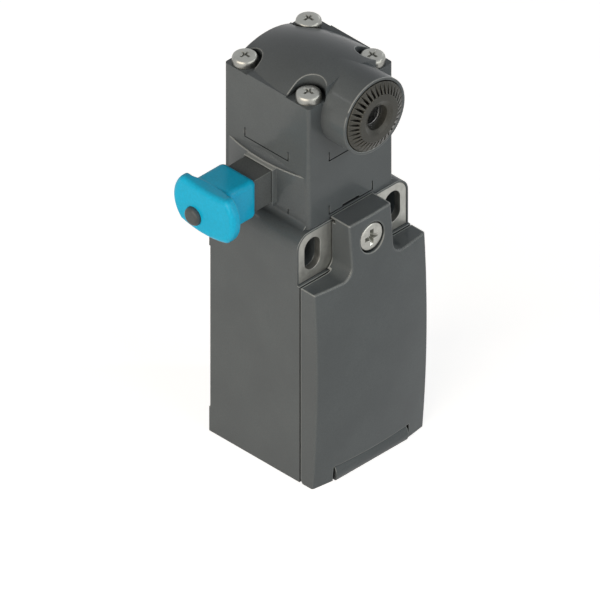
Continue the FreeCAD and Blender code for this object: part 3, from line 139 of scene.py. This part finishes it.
def moulded(name, dark, pale, edge_highlight, rough, grain_mm=0.3, depth=0.2, cloud_mm=9.0, skin=0.25,
            highlight_mm=0.24, highlight_start=0.9, highlight_full=0.6, seams=()):
    """Moulded plastic: cloudy tint, fine matt grain, painted shade in gaps, and a painted edge highlight
    except at its seams.
    """
    edge = 0.3 * MM
    tree, shader = new_material(name)
    place = node(tree, "ShaderNodeTexCoord").outputs["Object"]
    cloud = node(tree, "ShaderNodeTexNoise", {"Vector": place, "Scale": 1 / (cloud_mm * MM),
                                              "Detail": 3.0})
    grain = node(tree, "ShaderNodeTexNoise", {"Vector": place, "Scale": 1 / (grain_mm * MM),
                                              "Detail": 2.0})
    speck = node(tree, "ShaderNodeMath", {0: cloud, 1: grain}, operation="MULTIPLY")
    blend = node(tree, "ShaderNodeMapRange", {"Value": speck, "From Min": 0.12, "From Max": 0.4})
    tint = node(tree, "ShaderNodeMix", {"Factor": blend, MIX_A: linear(dark), MIX_B: linear(pale)},
                data_type="RGBA").outputs[MIX_RESULT]
    gloss = node(tree, "ShaderNodeMapRange", {"Value": grain, "From Min": 0.3, "From Max": 0.7,
                                              "To Min": rough - GLOSS_SWAY, "To Max": rough + GLOSS_SWAY})
    soft = node(tree, "ShaderNodeBevel", {"Radius": edge}, samples=8)
    rise = node(tree, "ShaderNodeSeparateXYZ", {"Vector": soft}).outputs["Z"]
    rise = node(tree, "ShaderNodeMapRange", {"Value": rise, "From Min": 0.05, "From Max": 0.5,
                                             "To Min": 0.15})
    # painted highlight: edges found by ambient occlusion into the solid are painted paler, most where they
    # face up
    thick = node(tree, "ShaderNodeAmbientOcclusion", {"Distance": highlight_mm * MM}, samples=8, inside=True,
                 only_local=True).outputs["AO"]
    highlight_mask = node(tree, "ShaderNodeMapRange", {"Value": thick, "From Min": highlight_start,
                                            "From Max": highlight_full})
    highlight_mask = node(tree, "ShaderNodeMath", {0: highlight_mask, 1: rise}, operation="MULTIPLY")
    spot = node(tree, "ShaderNodeSeparateXYZ", {"Vector": place}).outputs
    width = edge
    for axis, seam in seams:
        away = node(tree, "ShaderNodeMath", {0: spot[axis], 1: seam}, operation="SUBTRACT")
        away = node(tree, "ShaderNodeMath", {0: away}, operation="ABSOLUTE")
        away = node(tree, "ShaderNodeMapRange", {"Value": away, "From Min": edge, "From Max": edge * 2})
        highlight_mask = node(tree, "ShaderNodeMath", {0: highlight_mask, 1: away}, operation="MULTIPLY")
        width = node(tree, "ShaderNodeMath", {0: width, 1: away}, operation="MULTIPLY")
        feed(tree, soft, {"Radius": width})
    # painted shade: where ambient occlusion looking outwards finds little open sky, the tint is darkened to
    # near black
    open_sky = node(tree, "ShaderNodeAmbientOcclusion", {"Distance": GAP_REACH}, samples=8).outputs["AO"]
    unshaded = node(tree, "ShaderNodeMapRange", {"Value": open_sky, "From Min": 0.18, "From Max": 0.4})
    gap_shaded_tint = node(tree, "ShaderNodeMix", {"Factor": unshaded, MIX_A: linear(PAINTED_GAP_SHADE), MIX_B: tint},
                 data_type="RGBA").outputs[MIX_RESULT]
    highlighted_tint = node(tree, "ShaderNodeMix", {"Factor": highlight_mask, MIX_A: gap_shaded_tint, MIX_B: linear(edge_highlight)},
                data_type="RGBA").outputs[MIX_RESULT]
    relief = node(tree, "ShaderNodeBump", {"Height": grain, "Strength": depth, "Distance": 0.03 * MM,
                                           "Normal": soft})
    feed(tree, shader, {"Base Color": highlighted_tint, "Roughness": gloss, "Normal": relief,
                        "IOR": 1.53, "Specular IOR Level": 0.06, "Coat Weight": skin,
                        "Coat Roughness": 0.15, "Coat Normal": soft})


module_low, module_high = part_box("reset_module")
PARTINGS = [("Z", height) for height in (
    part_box("neck_gasket")[0].z, module_low.z, module_high.z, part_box("head_body")[0].z)]
HEAD_SCREW_MM = 1.9
EAVES = [("Z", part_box("head_screws")[1].z - HEAD_SCREW_MM * MM), ("Y", module_low.y)]
# each plastic's colours: dark, pale, then the painted edge highlight colour, and its roughness
GREY = ("#555b5f", "#5b6266", "#a4aaab", 0.34)

# glass-filled polyamide: a cool dark grey, half matt, with a fine bright line on its edges, partly from the
# coat and partly a painted highlight
moulded("moulded_polyamide_grey", *GREY, seams=PARTINGS)
# the same on the cover and the module, with the painted edge highlight also on their rounded edges
moulded("moulded_polyamide_sheen_fillets", *GREY, highlight_mm=0.3, highlight_start=0.985, highlight_full=0.9,
        seams=PARTINGS)
# the same on the head, with the painted edge highlight round its pockets, but none along the eaves of its
# roof
moulded("moulded_polyamide_head", *GREY, highlight_mm=0.38, highlight_start=0.92, highlight_full=0.65,
        seams=PARTINGS + EAVES)
# the slider, of the same plastic without filler: a shade paler, with a fainter painted edge highlight
moulded("moulded_polyamide_slider", "#595e60", "#656a6c", "#828788", 0.34)
# acetal from a polished mould: an even, waxy blue
moulded("moulded_acetal_blue", "#0cb0de", "#14bbea", "#5fcde8", 0.38, grain_mm=0.5, depth=0.1,
        cloud_mm=14.0)
# black acetal, greyed by use: a warm dark grey
moulded("moulded_acetal_black", "#3f403d", "#4a4b48", "#62635f", 0.34)
# the pin of the knob: a dark grey peg, a little glossier than the housing
moulded("moulded_polyamide_pin", "#484f52", "#555d60", "#828a8c", 0.32)
# glass-filled polyester of the contact block: opaque ivory
moulded("moulded_polyester_ivory", "#cfc8b4", "#ddd7c6", "#e6e1d4", 0.42, grain_mm=0.5, depth=0.15)
# natural acetal of the plunger: milky white
moulded("moulded_acetal_white", "#d9d8d2", "#e6e5e0", "#eeede9", 0.4, grain_mm=0.5, depth=0.1)
# nitrile rubber of the seals: dead black, with no gloss to speak of
moulded("moulded_nitrile_rubber", "#1d1d1e", "#29292a", "#333334", 0.72, grain_mm=0.6, skin=0.0)
print("plastics:", sorted(MATERIALS))

# %% [markdown]
# ## Metals
# Screws and the fixing plate are steel with a coat of zinc: pale grey, a little uneven where the
# coat built up. The springs and the shaft are plain ground steel, the contacts brass
# and the bush sintered bronze. All of them are one recipe: a metal tint that wanders slowly, and
# a roughness that wanders faster, like the marks that the barrel left on the plated pieces.

# %% Metal finishes
def metal(name, dark, pale, rough, mottle_mm, scratch_mm):
    """Bare or plated metal: mottled tint, uneven gloss and faint scratches along one way."""
    tree, shader = new_material(name)
    place = node(tree, "ShaderNodeTexCoord").outputs["Object"]
    mottle = node(tree, "ShaderNodeTexNoise", {"Vector": place, "Scale": 1 / (mottle_mm * MM),
                                               "Detail": 4.0})
    stretch = node(tree, "ShaderNodeMapping", {"Vector": place, "Scale": (1.0, 1.0, 0.06)})
    scratch = node(tree, "ShaderNodeTexNoise", {"Vector": stretch, "Scale": 1 / (scratch_mm * MM),
                                                "Detail": 2.0})
    blend = node(tree, "ShaderNodeMapRange", {"Value": mottle, "From Min": 0.3, "From Max": 0.7})
    tint = node(tree, "ShaderNodeMix", {"Factor": blend, MIX_A: linear(dark), MIX_B: linear(pale)},
                data_type="RGBA").outputs[MIX_RESULT]
    gloss = node(tree, "ShaderNodeMapRange", {"Value": scratch, "From Min": 0.3, "From Max": 0.7,
                                              "To Min": rough - 0.06, "To Max": rough + 0.08})
    soft = node(tree, "ShaderNodeBevel", {"Radius": 0.15 * MM}, samples=8)
    relief = node(tree, "ShaderNodeBump", {"Height": scratch, "Strength": 0.06, "Distance": 0.02 * MM,
                                           "Normal": soft})
    feed(tree, shader, {"Base Color": tint, "Roughness": gloss, "Normal": relief,
                        "Metallic": 1.0})


# bright zinc on steel: pale, faintly warm, half a mirror
metal("zinc_plated_steel", "#9a9b97", "#adaea9", 0.3, mottle_mm=1.6, scratch_mm=0.12)
# sheet steel from a hot zinc bath: the same grey, but dull, so it hardly mirrors what stands beside it
metal("galvanised_sheet_steel", "#9c9d99", "#acada9", 0.5, mottle_mm=1.6, scratch_mm=0.3)
# zinc with a passivated coat, as on the long screws: a deeper grey, so its rims flash
metal("passivated_zinc_steel", "#8e8f8b", "#9a9b97", 0.34, mottle_mm=2.4, scratch_mm=0.3)
# ground steel: darker and cooler, with streaks along the cut
metal("ground_spring_steel", "#8f9090", "#a9aaab", 0.28, mottle_mm=1.2, scratch_mm=0.1)
# rolled brass, stamped: yellow, clean
metal("stamped_brass", "#b08a45", "#c9a258", 0.3, mottle_mm=1.5, scratch_mm=0.12)
# sintered bronze: brown, dull and speckled from its pores
metal("sintered_bronze", "#7c5a34", "#96703f", 0.5, mottle_mm=0.5, scratch_mm=0.2)
print("finishes:", len(MATERIALS))

# %% [markdown]
# ## Which solid gets which finish
# A solid whose shape is right stays as it is and only changes its material, because it already
# moves with its body. The table names each finish once, with the solids that wear it.

# %% Dress the solids
DRESS = {
    "moulded_polyamide_grey": ["base_housing"],
    "moulded_polyamide_head": ["head_body"],
    "moulded_polyamide_sheen_fillets": ["front_cover", "reset_module"],
    "moulded_polyamide_slider": ["reset_slider"],
    "moulded_acetal_blue": ["reset_knob"],
    "moulded_polyamide_pin": ["reset_pin"],
    "moulded_acetal_black": ["drive_disc"],
    "galvanised_sheet_steel": ["fixing_plate"],
    "zinc_plated_steel": ["terminal_clamps", "cover_screw", "terminal_screws", "contact_block_screws"],
    "passivated_zinc_steel": ["head_screws"],
    "ground_spring_steel": ["actuator_shaft", "shaft_clip", "hinge_pins", "plunger_spring", "reset_spring",
                            "shaft_spring", "contact_spring"],
    "stamped_brass": ["cover_screw_insert", "fixed_contacts", "contact_bridges"],
    "sintered_bronze": ["shaft_bushing"],
    "moulded_nitrile_rubber": ["shaft_seal", "cover_gasket", "neck_gasket", "head_gasket"],
    "moulded_polyester_ivory": ["contact_block", "contact_carrier"],
    "moulded_acetal_white": ["head_plunger"],
}
for finish, names in DRESS.items():
    for name in names:
        solid = frame["nodes"][name]
        solid.data.materials.clear()
        solid.data.materials.append(MATERIALS[finish])
print("dressed:", sum(len(names) for names in DRESS.values()))

# %% [markdown]
# ## Screws with a cross recess
# Every screw of the switch is the same thing in four sizes: a round head with a cross recess on
# a plain shank. Modelling one and copying it by hand works, but a geometry node tree makes the
# screw from a rule and sets a copy on each point of a small mesh, so a new size is only a new set
# of numbers. The head starts as a ball. Its reach from the axis and its height are both raised to
# a small power, which squares it off into a pan head, and its lower half is pressed flat. The recess is
# cut by two bars that cross and that narrow as they go down, like the bit that drives the screw.

# %% The screw tree
def new_tree(name, sizes):
    """A geometry tree with named size inputs, a material input and one geometry output."""
    tree = bpy.data.node_groups.new(name, "GeometryNodeTree")
    face = tree.interface
    face.new_socket("Geometry", in_out="INPUT", socket_type="NodeSocketGeometry")
    for label in sizes:
        face.new_socket(label, in_out="INPUT", socket_type="NodeSocketFloat")
    face.new_socket("Finish", in_out="INPUT", socket_type="NodeSocketMaterial")
    face.new_socket("Geometry", in_out="OUTPUT", socket_type="NodeSocketGeometry")
    return tree, node(tree, "NodeGroupInput").outputs


def close_tree(tree, given, shape):
    """Sets the finished shape on every given point, as real mesh with its material."""
    seats = node(tree, "GeometryNodeInstanceOnPoints", {"Points": given["Geometry"], "Instance": shape})
    real = node(tree, "GeometryNodeRealizeInstances", {"Geometry": seats})
    done = node(tree, "GeometryNodeSetMaterial", {"Geometry": real, "Material": given["Finish"]})
    node(tree, "NodeGroupOutput", {0: done})
    return tree


def screw_tree():
    """One screw from named sizes, set on every point of the mesh it is given."""
    tree, given = new_tree("cross_recess_screw", [
        "Head radius", "Head height", "Roundness", "Shank radius", "Shank length",
        "Arm length", "Arm width", "Recess depth"])
    spot = node(tree, "GeometryNodeInputPosition")
    part = node(tree, "ShaderNodeSeparateXYZ", {0: spot}).outputs
    flat = node(tree, "ShaderNodeVectorMath", {0: spot, 1: (1.0, 1.0, 0.0)}, operation="MULTIPLY")
    reach = node(tree, "ShaderNodeVectorMath", {0: flat}, operation="LENGTH").outputs["Value"]
    outward = node(tree, "ShaderNodeVectorMath", {0: flat}, operation="NORMALIZE")

    # the head: a ball of radius 1, squared off and sized
    ball = node(tree, "GeometryNodeMeshUVSphere", {"Segments": 48, "Rings": 28, "Radius": 1.0})
    wide = node(tree, "ShaderNodeMath", {0: reach, 1: given["Roundness"]}, operation="POWER")
    wide = node(tree, "ShaderNodeMath", {0: wide, 1: given["Head radius"]}, operation="MULTIPLY")
    tall = node(tree, "ShaderNodeMath", {0: part["Z"], 1: 0.0}, operation="MAXIMUM")
    tall = node(tree, "ShaderNodeMath", {0: tall, 1: given["Roundness"]}, operation="POWER")
    tall = node(tree, "ShaderNodeMath", {0: tall, 1: given["Head height"]}, operation="MULTIPLY")
    rim = node(tree, "ShaderNodeVectorMath", {0: outward, "Scale": wide}, operation="SCALE")
    lift = node(tree, "ShaderNodeCombineXYZ", {"Z": tall})
    bent = node(tree, "ShaderNodeVectorMath", {0: rim, 1: lift}, operation="ADD")
    head = node(tree, "GeometryNodeSetPosition", {"Geometry": ball, "Position": bent})

    # the recess: half of each bar's length and width is given, and the bars sink in by the depth
    narrow = node(tree, "ShaderNodeMapRange", {"Value": part["Z"], "From Min": -1.0, "From Max": 1.0,
                                               "To Min": 0.4, "To Max": 1.6})
    sunk = node(tree, "ShaderNodeMath", {0: part["Z"], 1: given["Recess depth"], 2: given["Head height"]},
                operation="MULTIPLY_ADD")
    carved = node(tree, "GeometryNodeMeshBoolean", {"Mesh 1": head}, operation="DIFFERENCE",
                  solver="EXACT")
    for sizes in ({"X": "Arm length", "Y": "Arm width"}, {"X": "Arm width", "Y": "Arm length"}):
        bar = node(tree, "GeometryNodeMeshCube", {"Size": (2.0, 2.0, 2.0)})
        pulled = node(tree, "ShaderNodeCombineXYZ", {"Z": sunk})
        for axis, label in sizes.items():
            reach_out = node(tree, "ShaderNodeMath", {0: part[axis], 1: given[label]}, operation="MULTIPLY")
            reach_out = node(tree, "ShaderNodeMath", {0: reach_out, 1: narrow}, operation="MULTIPLY")
            feed(tree, pulled, {axis: reach_out})
        cutter = node(tree, "GeometryNodeSetPosition", {"Geometry": bar, "Position": pulled})
        feed(tree, carved, {"Mesh 2": cutter})

    # the shank, hung below the head
    shank = node(tree, "GeometryNodeMeshCylinder", {"Vertices": 24, "Radius": given["Shank radius"],
                                                    "Depth": given["Shank length"]})
    below = node(tree, "ShaderNodeMath", {0: given["Shank length"], 1: -0.5}, operation="MULTIPLY")
    below = node(tree, "ShaderNodeCombineXYZ", {"Z": below})
    shank = node(tree, "GeometryNodeTransform", {"Geometry": shank, "Translation": below})
    whole = node(tree, "GeometryNodeJoinGeometry", {"Geometry": shank})
    feed(tree, whole, {"Geometry": carved})
    return close_tree(tree, given, whole)


SCREW = screw_tree()
print("screw tree:", len(SCREW.nodes), "nodes")

# %% [markdown]
# ## From a tree to a plain piece
# A tree runs as a modifier. Its sizes are set by socket identifier, the result is read from the
# evaluated object and becomes an ordinary mesh, and the modifier goes away with its carrier. The
# mesh is then turned into its place, shaded smooth below an angle, and rides on its body.

# %% Making a piece from a tree
PURE_NUMBERS = {"Roundness", "Turns"}
WELD = 0.0005 * MM


def grown(name, tree, points, sizes, finish):
    """Runs a geometry tree on a cloud of points and returns the result as a plain mesh."""
    seed = bpy.data.meshes.new(f"{name}_points")
    seed.from_pydata([tuple(point) for point in points], [], [])
    carrier = bpy.data.objects.new(f"{name}_carrier", seed)
    scene.collection.objects.link(carrier)
    modifier = carrier.modifiers.new("grow", "NODES")
    modifier.node_group = tree
    for item in tree.interface.items_tree:
        if item.in_out == "INPUT" and item.name in sizes:
            unit = 1.0 if item.name in PURE_NUMBERS else MM
            modifier[item.identifier] = sizes[item.name] * unit
        if item.in_out == "INPUT" and item.name == "Finish":
            modifier[item.identifier] = MATERIALS[finish]
    graph = bpy.context.evaluated_depsgraph_get()
    mesh = bpy.data.meshes.new_from_object(carrier.evaluated_get(graph), depsgraph=graph)
    carrier.modifiers.clear()
    bpy.data.objects.remove(carrier)
    mesh.name = name
    return mesh


def settle(name, mesh, body, replaced=(), crease=35):
    """Makes a finished mesh a piece that rides on a body and may stand for some solids."""
    tidy = bmesh.new()
    tidy.from_mesh(mesh)
    bmesh.ops.remove_doubles(tidy, verts=tidy.verts, dist=WELD)
    bmesh.ops.recalc_face_normals(tidy, faces=tidy.faces)
    for face in tidy.faces:
        face.smooth = True
    for edge in tidy.edges:
        if len(edge.link_faces) == 2:
            edge.smooth = edge.calc_face_angle(0.0) < math.radians(crease)
    tidy.to_mesh(mesh)
    tidy.free()
    piece = bpy.data.objects.new(name, mesh)
    scene.collection.objects.link(piece)
    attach(piece, body)
    if replaced:
        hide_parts(*replaced)
    print(name, "faces:", len(mesh.polygons))
    return piece


# %% [markdown]
# ## Set the screws
# The four long screws clamp the head, the module and the neck; their heads are seen best. The
# places are read from the solids: a node of screws is split into its separate lumps, and the box of
# each lump says where its screw stands and how long it is.

# %% Head screws, cover screw and the screws inside
def lumps(name):
    """Lowest and highest corner of each separate solid in a node."""
    work = bmesh.new()
    work.from_mesh(frame["nodes"][name].data)
    bmesh.ops.remove_doubles(work, verts=work.verts, dist=WELD)
    left = set(work.verts)
    found = []
    while left:
        heap = [left.pop()]
        lump = []
        while heap:
            vert = heap.pop()
            lump.append(vert.co.copy())
            near = {edge.other_vert(vert) for edge in vert.link_edges} & left
            left -= near
            heap.extend(near)
        found.append((Vector([min(spot[axis] for spot in lump) for axis in range(3)]),
                      Vector([max(spot[axis] for spot in lump) for axis in range(3)])))
    work.free()
    return found


TO_FRONT = Matrix.Rotation(math.pi / 2, 4, "X")


def set_screws(name, solid, body, head, sizes, finish="zinc_plated_steel", upright=False):
    """Puts shaped screws in place of a node's plain ones; head is the height of the head in mm."""
    points = []
    for low, high in lumps(solid):
        middle = (low + high) / 2
        if upright:
            seat = Vector((middle.x, middle.y, high.z - head * MM))
            length = high.z - low.z
        else:
            seat = TO_FRONT.inverted() @ Vector((middle.x, low.y + head * MM, middle.z))
            length = high.y - low.y
        points.append(seat)
    lengths = {"Head height": head, "Shank length": length / MM - head}
    mesh = grown(name, SCREW, points, sizes | lengths, finish)
    if not upright:
        mesh.transform(TO_FRONT)
    settle(name, mesh, body, [solid], crease=32)


set_screws("head_screw_set", "head_screws", "base", HEAD_SCREW_MM, {
    "Head radius": 2.6, "Roundness": 0.37, "Shank radius": 1.5,
    "Arm length": 1.35, "Arm width": 0.3, "Recess depth": 0.6}, "passivated_zinc_steel", upright=True)
set_screws("cover_screw_cross", "cover_screw", "cover", 2.2, {
    "Head radius": 3.1, "Roundness": 0.14, "Shank radius": 1.75,
    "Arm length": 1.85, "Arm width": 0.5, "Recess depth": 1.2})
set_screws("terminal_screw_set", "terminal_screws", "base", 1.8, {
    "Head radius": 2.7, "Roundness": 0.3, "Shank radius": 1.75,
    "Arm length": 1.6, "Arm width": 0.4, "Recess depth": 1.0})
set_screws("block_screw_set", "contact_block_screws", "base", 1.8, {
    "Head radius": 2.4, "Roundness": 0.3, "Shank radius": 1.4,
    "Arm length": 1.45, "Arm width": 0.35, "Recess depth": 1.0})

# %% [markdown]
# ## Threads
# The conduit entry and the lever hole are threaded. In the solids both are plain bores at the
# thread's inner radius, so the thread is a ridge wound on that wall: a spiral curve with a small
# round section swept along it. Cutting a real groove would need a boolean on a solid that
# must stay as it is; a ridge of a few tenths of a millimetre reads the same.

# %% The thread tree
def thread_tree():
    """A wound ridge from a radius, a height and a number of turns."""
    tree, given = new_tree("wound_ridge", ["Radius", "Height", "Turns", "Ridge"])
    spiral = node(tree, "GeometryNodeCurveSpiral", {
        "Resolution": 48, "Rotations": given["Turns"], "Start Radius": given["Radius"],
        "End Radius": given["Radius"], "Height": given["Height"]})
    section = node(tree, "GeometryNodeCurvePrimitiveCircle", {"Resolution": 10,
                                                              "Radius": given["Ridge"]})
    swept = node(tree, "GeometryNodeCurveToMesh", {"Curve": spiral, "Profile Curve": section,
                                                   "Fill Caps": True})
    return close_tree(tree, given, swept)


THREAD = thread_tree()
CONDUIT = {"Radius": 9.19, "Height": 8.4, "Turns": 5.6, "Ridge": 0.3}
CONDUIT_INSET = 0.5 * MM
LEVER = {"Radius": 2.067, "Height": 8.0, "Turns": 10.0, "Ridge": 0.1}
LEVER_DEPTH = 9.5 * MM
base_low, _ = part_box("base_housing")
shaft_low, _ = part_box("actuator_shaft")
mounts = {mount["name"]: Vector(mount["pos_m"]) for mount in frame["record"]["mounts"]}
mouth = (0.0, mounts["conduit_entry"].y, base_low.z + CONDUIT_INSET)
conduit = grown("conduit_thread", THREAD, [mouth], CONDUIT, "moulded_polyamide_grey")
settle("conduit_thread", conduit, "base")
bottom = (0.0, 0.0, -shaft_low.y - LEVER_DEPTH)
lever = grown("lever_thread", THREAD, [bottom], LEVER, "ground_spring_steel")
lever.transform(Matrix.Translation((0.0, 0.0, mounts["lever_screw"].z)) @ TO_FRONT)
settle("lever_thread", lever, "shaft")

# %% [markdown]
# ## Wound springs
# Three coil springs are pressed together when the plunger goes down or the knob is pulled. A solid coil
# would stay long and cut through the piece that presses on it. The tree that winds the threads also
# winds these springs, with the box of each solid for its size.
# The coil round the shaft keeps its length, so it stays a solid.

# %% Plunger, contact and reset springs
WIRE = 0.25 * MM


def set_spring(solid, turns, along):
    """Winds a spring in place of a solid one; its fixed end is the lower one on the axis along."""
    low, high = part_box(solid)
    length = high[along] - low[along]
    foot = (low + high) / 2
    foot[along] = low[along]
    mesh = grown(f"{solid}_coil", THREAD, [(0.0, 0.0, WIRE)], {
        "Radius": ((high.y - low.y) / 2 - WIRE) / MM, "Height": (length - 2 * WIRE) / MM,
        "Turns": turns, "Ridge": WIRE / MM}, "ground_spring_steel")
    lie = Matrix.Rotation(math.pi / 2, 4, "Y") if along == 0 else Matrix()
    mesh.transform(Matrix.Translation(foot) @ lie)
    piece = settle(f"{solid}_coil", mesh, "base", [solid])
    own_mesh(piece)


set_spring("plunger_spring", 5, along=2)
set_spring("contact_spring", 4, along=2)
set_spring("reset_spring", 9, along=0)

# %% [markdown]
# ## Floor
# A plain pale sheet under the switch takes its soft shadow. Lit by the lamps alone it would look
# grey, and more light would bleach the switch too. So the sheet shines a little by itself, but only for
# rays that come from the camera, a mirror or glass: it looks white and lights nothing.

# %% The floor
def for_eyes(tree, hidden, shown):
    """A strength that differs for what is looked at and for what only gets light from it."""
    ray = node(tree, "ShaderNodeLightPath").outputs
    seen = node(tree, "ShaderNodeMath", {0: ray["Is Camera Ray"], 1: ray["Is Glossy Ray"]},
                operation="MAXIMUM")
    seen = node(tree, "ShaderNodeMath", {0: seen, 1: ray["Is Transmission Ray"]}, operation="MAXIMUM")
    return node(tree, "ShaderNodeMapRange", {"Value": seen, "To Min": hidden, "To Max": shown})


FLOOR_REACH = 3.0
WHITE = (1.0, 1.0, 1.0, 1.0)
sheet = bpy.data.meshes.new("floor")
work = bmesh.new()
bmesh.ops.create_grid(work, x_segments=1, y_segments=1, size=FLOOR_REACH)
work.to_mesh(sheet)
work.free()
sheet.transform(Matrix.Translation((0.0, 0.0, base_low.z)))
floor = bpy.data.objects.new("floor", sheet)
scene.collection.objects.link(floor)
tree, shader = new_material("pale_floor")
feed(tree, shader, {"Base Color": linear("#d8d8d8"), "Roughness": 0.9, "Specular IOR Level": 0.0,
                    "Emission Color": WHITE,
                    "Emission Strength": for_eyes(tree, hidden=0.0, shown=0.78)})
sheet.materials.append(MATERIALS["pale_floor"])
print("floor at mm:", round(base_low.z / MM, 1))

# %% [markdown]
# ## Light
# Two large soft lamps and a faint sky give the tones. The left side is the brightest and a little warm,
# the front a little less and neutral, and the top the darkest, so both lamps stand low: a warm key on
# the left and a white fill in front. The key's power is set so that a grey card facing it renders about as
# its own colour is written. Two small lamps, high behind on the left and high in front on the right, stand
# where the rounded upper edges mirror them to the camera, and a third on the right puts the flash on
# the heads of the screws.

# %% World and lamps
world = bpy.data.worlds.new("studio")
scene.world = world
world.use_nodes = True
tree = world.node_tree
tree.nodes.clear()
sky = node(tree, "ShaderNodeBackground", {"Color": WHITE,
                                          "Strength": for_eyes(tree, hidden=0.08, shown=1.0)})
node(tree, "ShaderNodeOutputWorld", {"Surface": sky})
aim = Vector((0.0, -12.0 * MM, -8.0 * MM))


def lamp(name, place, size, watts, tint):
    """Soft square lamp that looks at the switch."""
    data = bpy.data.lights.new(name, "AREA")
    data.size = size
    data.energy = watts
    data.color = linear(tint)[:3]
    thing = bpy.data.objects.new(name, data)
    thing.location = place
    thing.rotation_euler = (aim - Vector(place)).to_track_quat("-Z", "Y").to_euler()
    scene.collection.objects.link(thing)
    print(name, watts, "W at", place)


lamp("key_left", place=(-0.85, -0.12, 0.12), size=1.0, watts=10.9, tint="#fff1e0")
lamp("fill_front", place=(0.12, -0.85, 0.2), size=0.8, watts=3.5, tint="#fffdf6")
lamp("edge_behind", place=(-0.46, 0.45, 0.46), size=0.04, watts=0.08, tint="#ffffff")
lamp("edge_front", place=(0.46, -0.47, 0.46), size=0.03, watts=0.4, tint="#ffffff")
lamp("flash_right", place=(0.775, 0.26, 0.37), size=0.09, watts=0.3, tint="#ffffff")

# %% [markdown]
# ## Camera
# The picture is a parallel view along the isometric direction: the three axes of the switch are
# foreshortened alike, and parallel edges stay parallel. So the camera is orthographic and looks down by
# 35.26 degrees from the front left. Its axes are written as vectors, which is exact, where angles
# would have to be rounded.

# %% The camera
RIGHT = Vector((1.0, -1.0, 0.0)).normalized()
BACK = Vector((-1.0, -1.0, 1.0)).normalized()
UP = BACK.cross(RIGHT)
SHIFT_RIGHT = 6.88 * MM
SHIFT_DOWN = 23.45 * MM
PICTURE_WIDTH = 116.65 * MM
CAMERA_AWAY = 0.6
centre = RIGHT * SHIFT_RIGHT - UP * SHIFT_DOWN
data = bpy.data.cameras.new("isometric")
data.type = "ORTHO"
data.ortho_scale = PICTURE_WIDTH
camera = bpy.data.objects.new("isometric", data)
turn = Matrix((RIGHT, UP, BACK)).transposed().to_4x4()
camera.matrix_world = Matrix.Translation(centre + BACK * CAMERA_AWAY) @ turn
scene.collection.objects.link(camera)
scene.camera = camera
scene.view_settings.view_transform = "Standard"
print("picture width in mm:", round(data.ortho_scale / MM, 2))
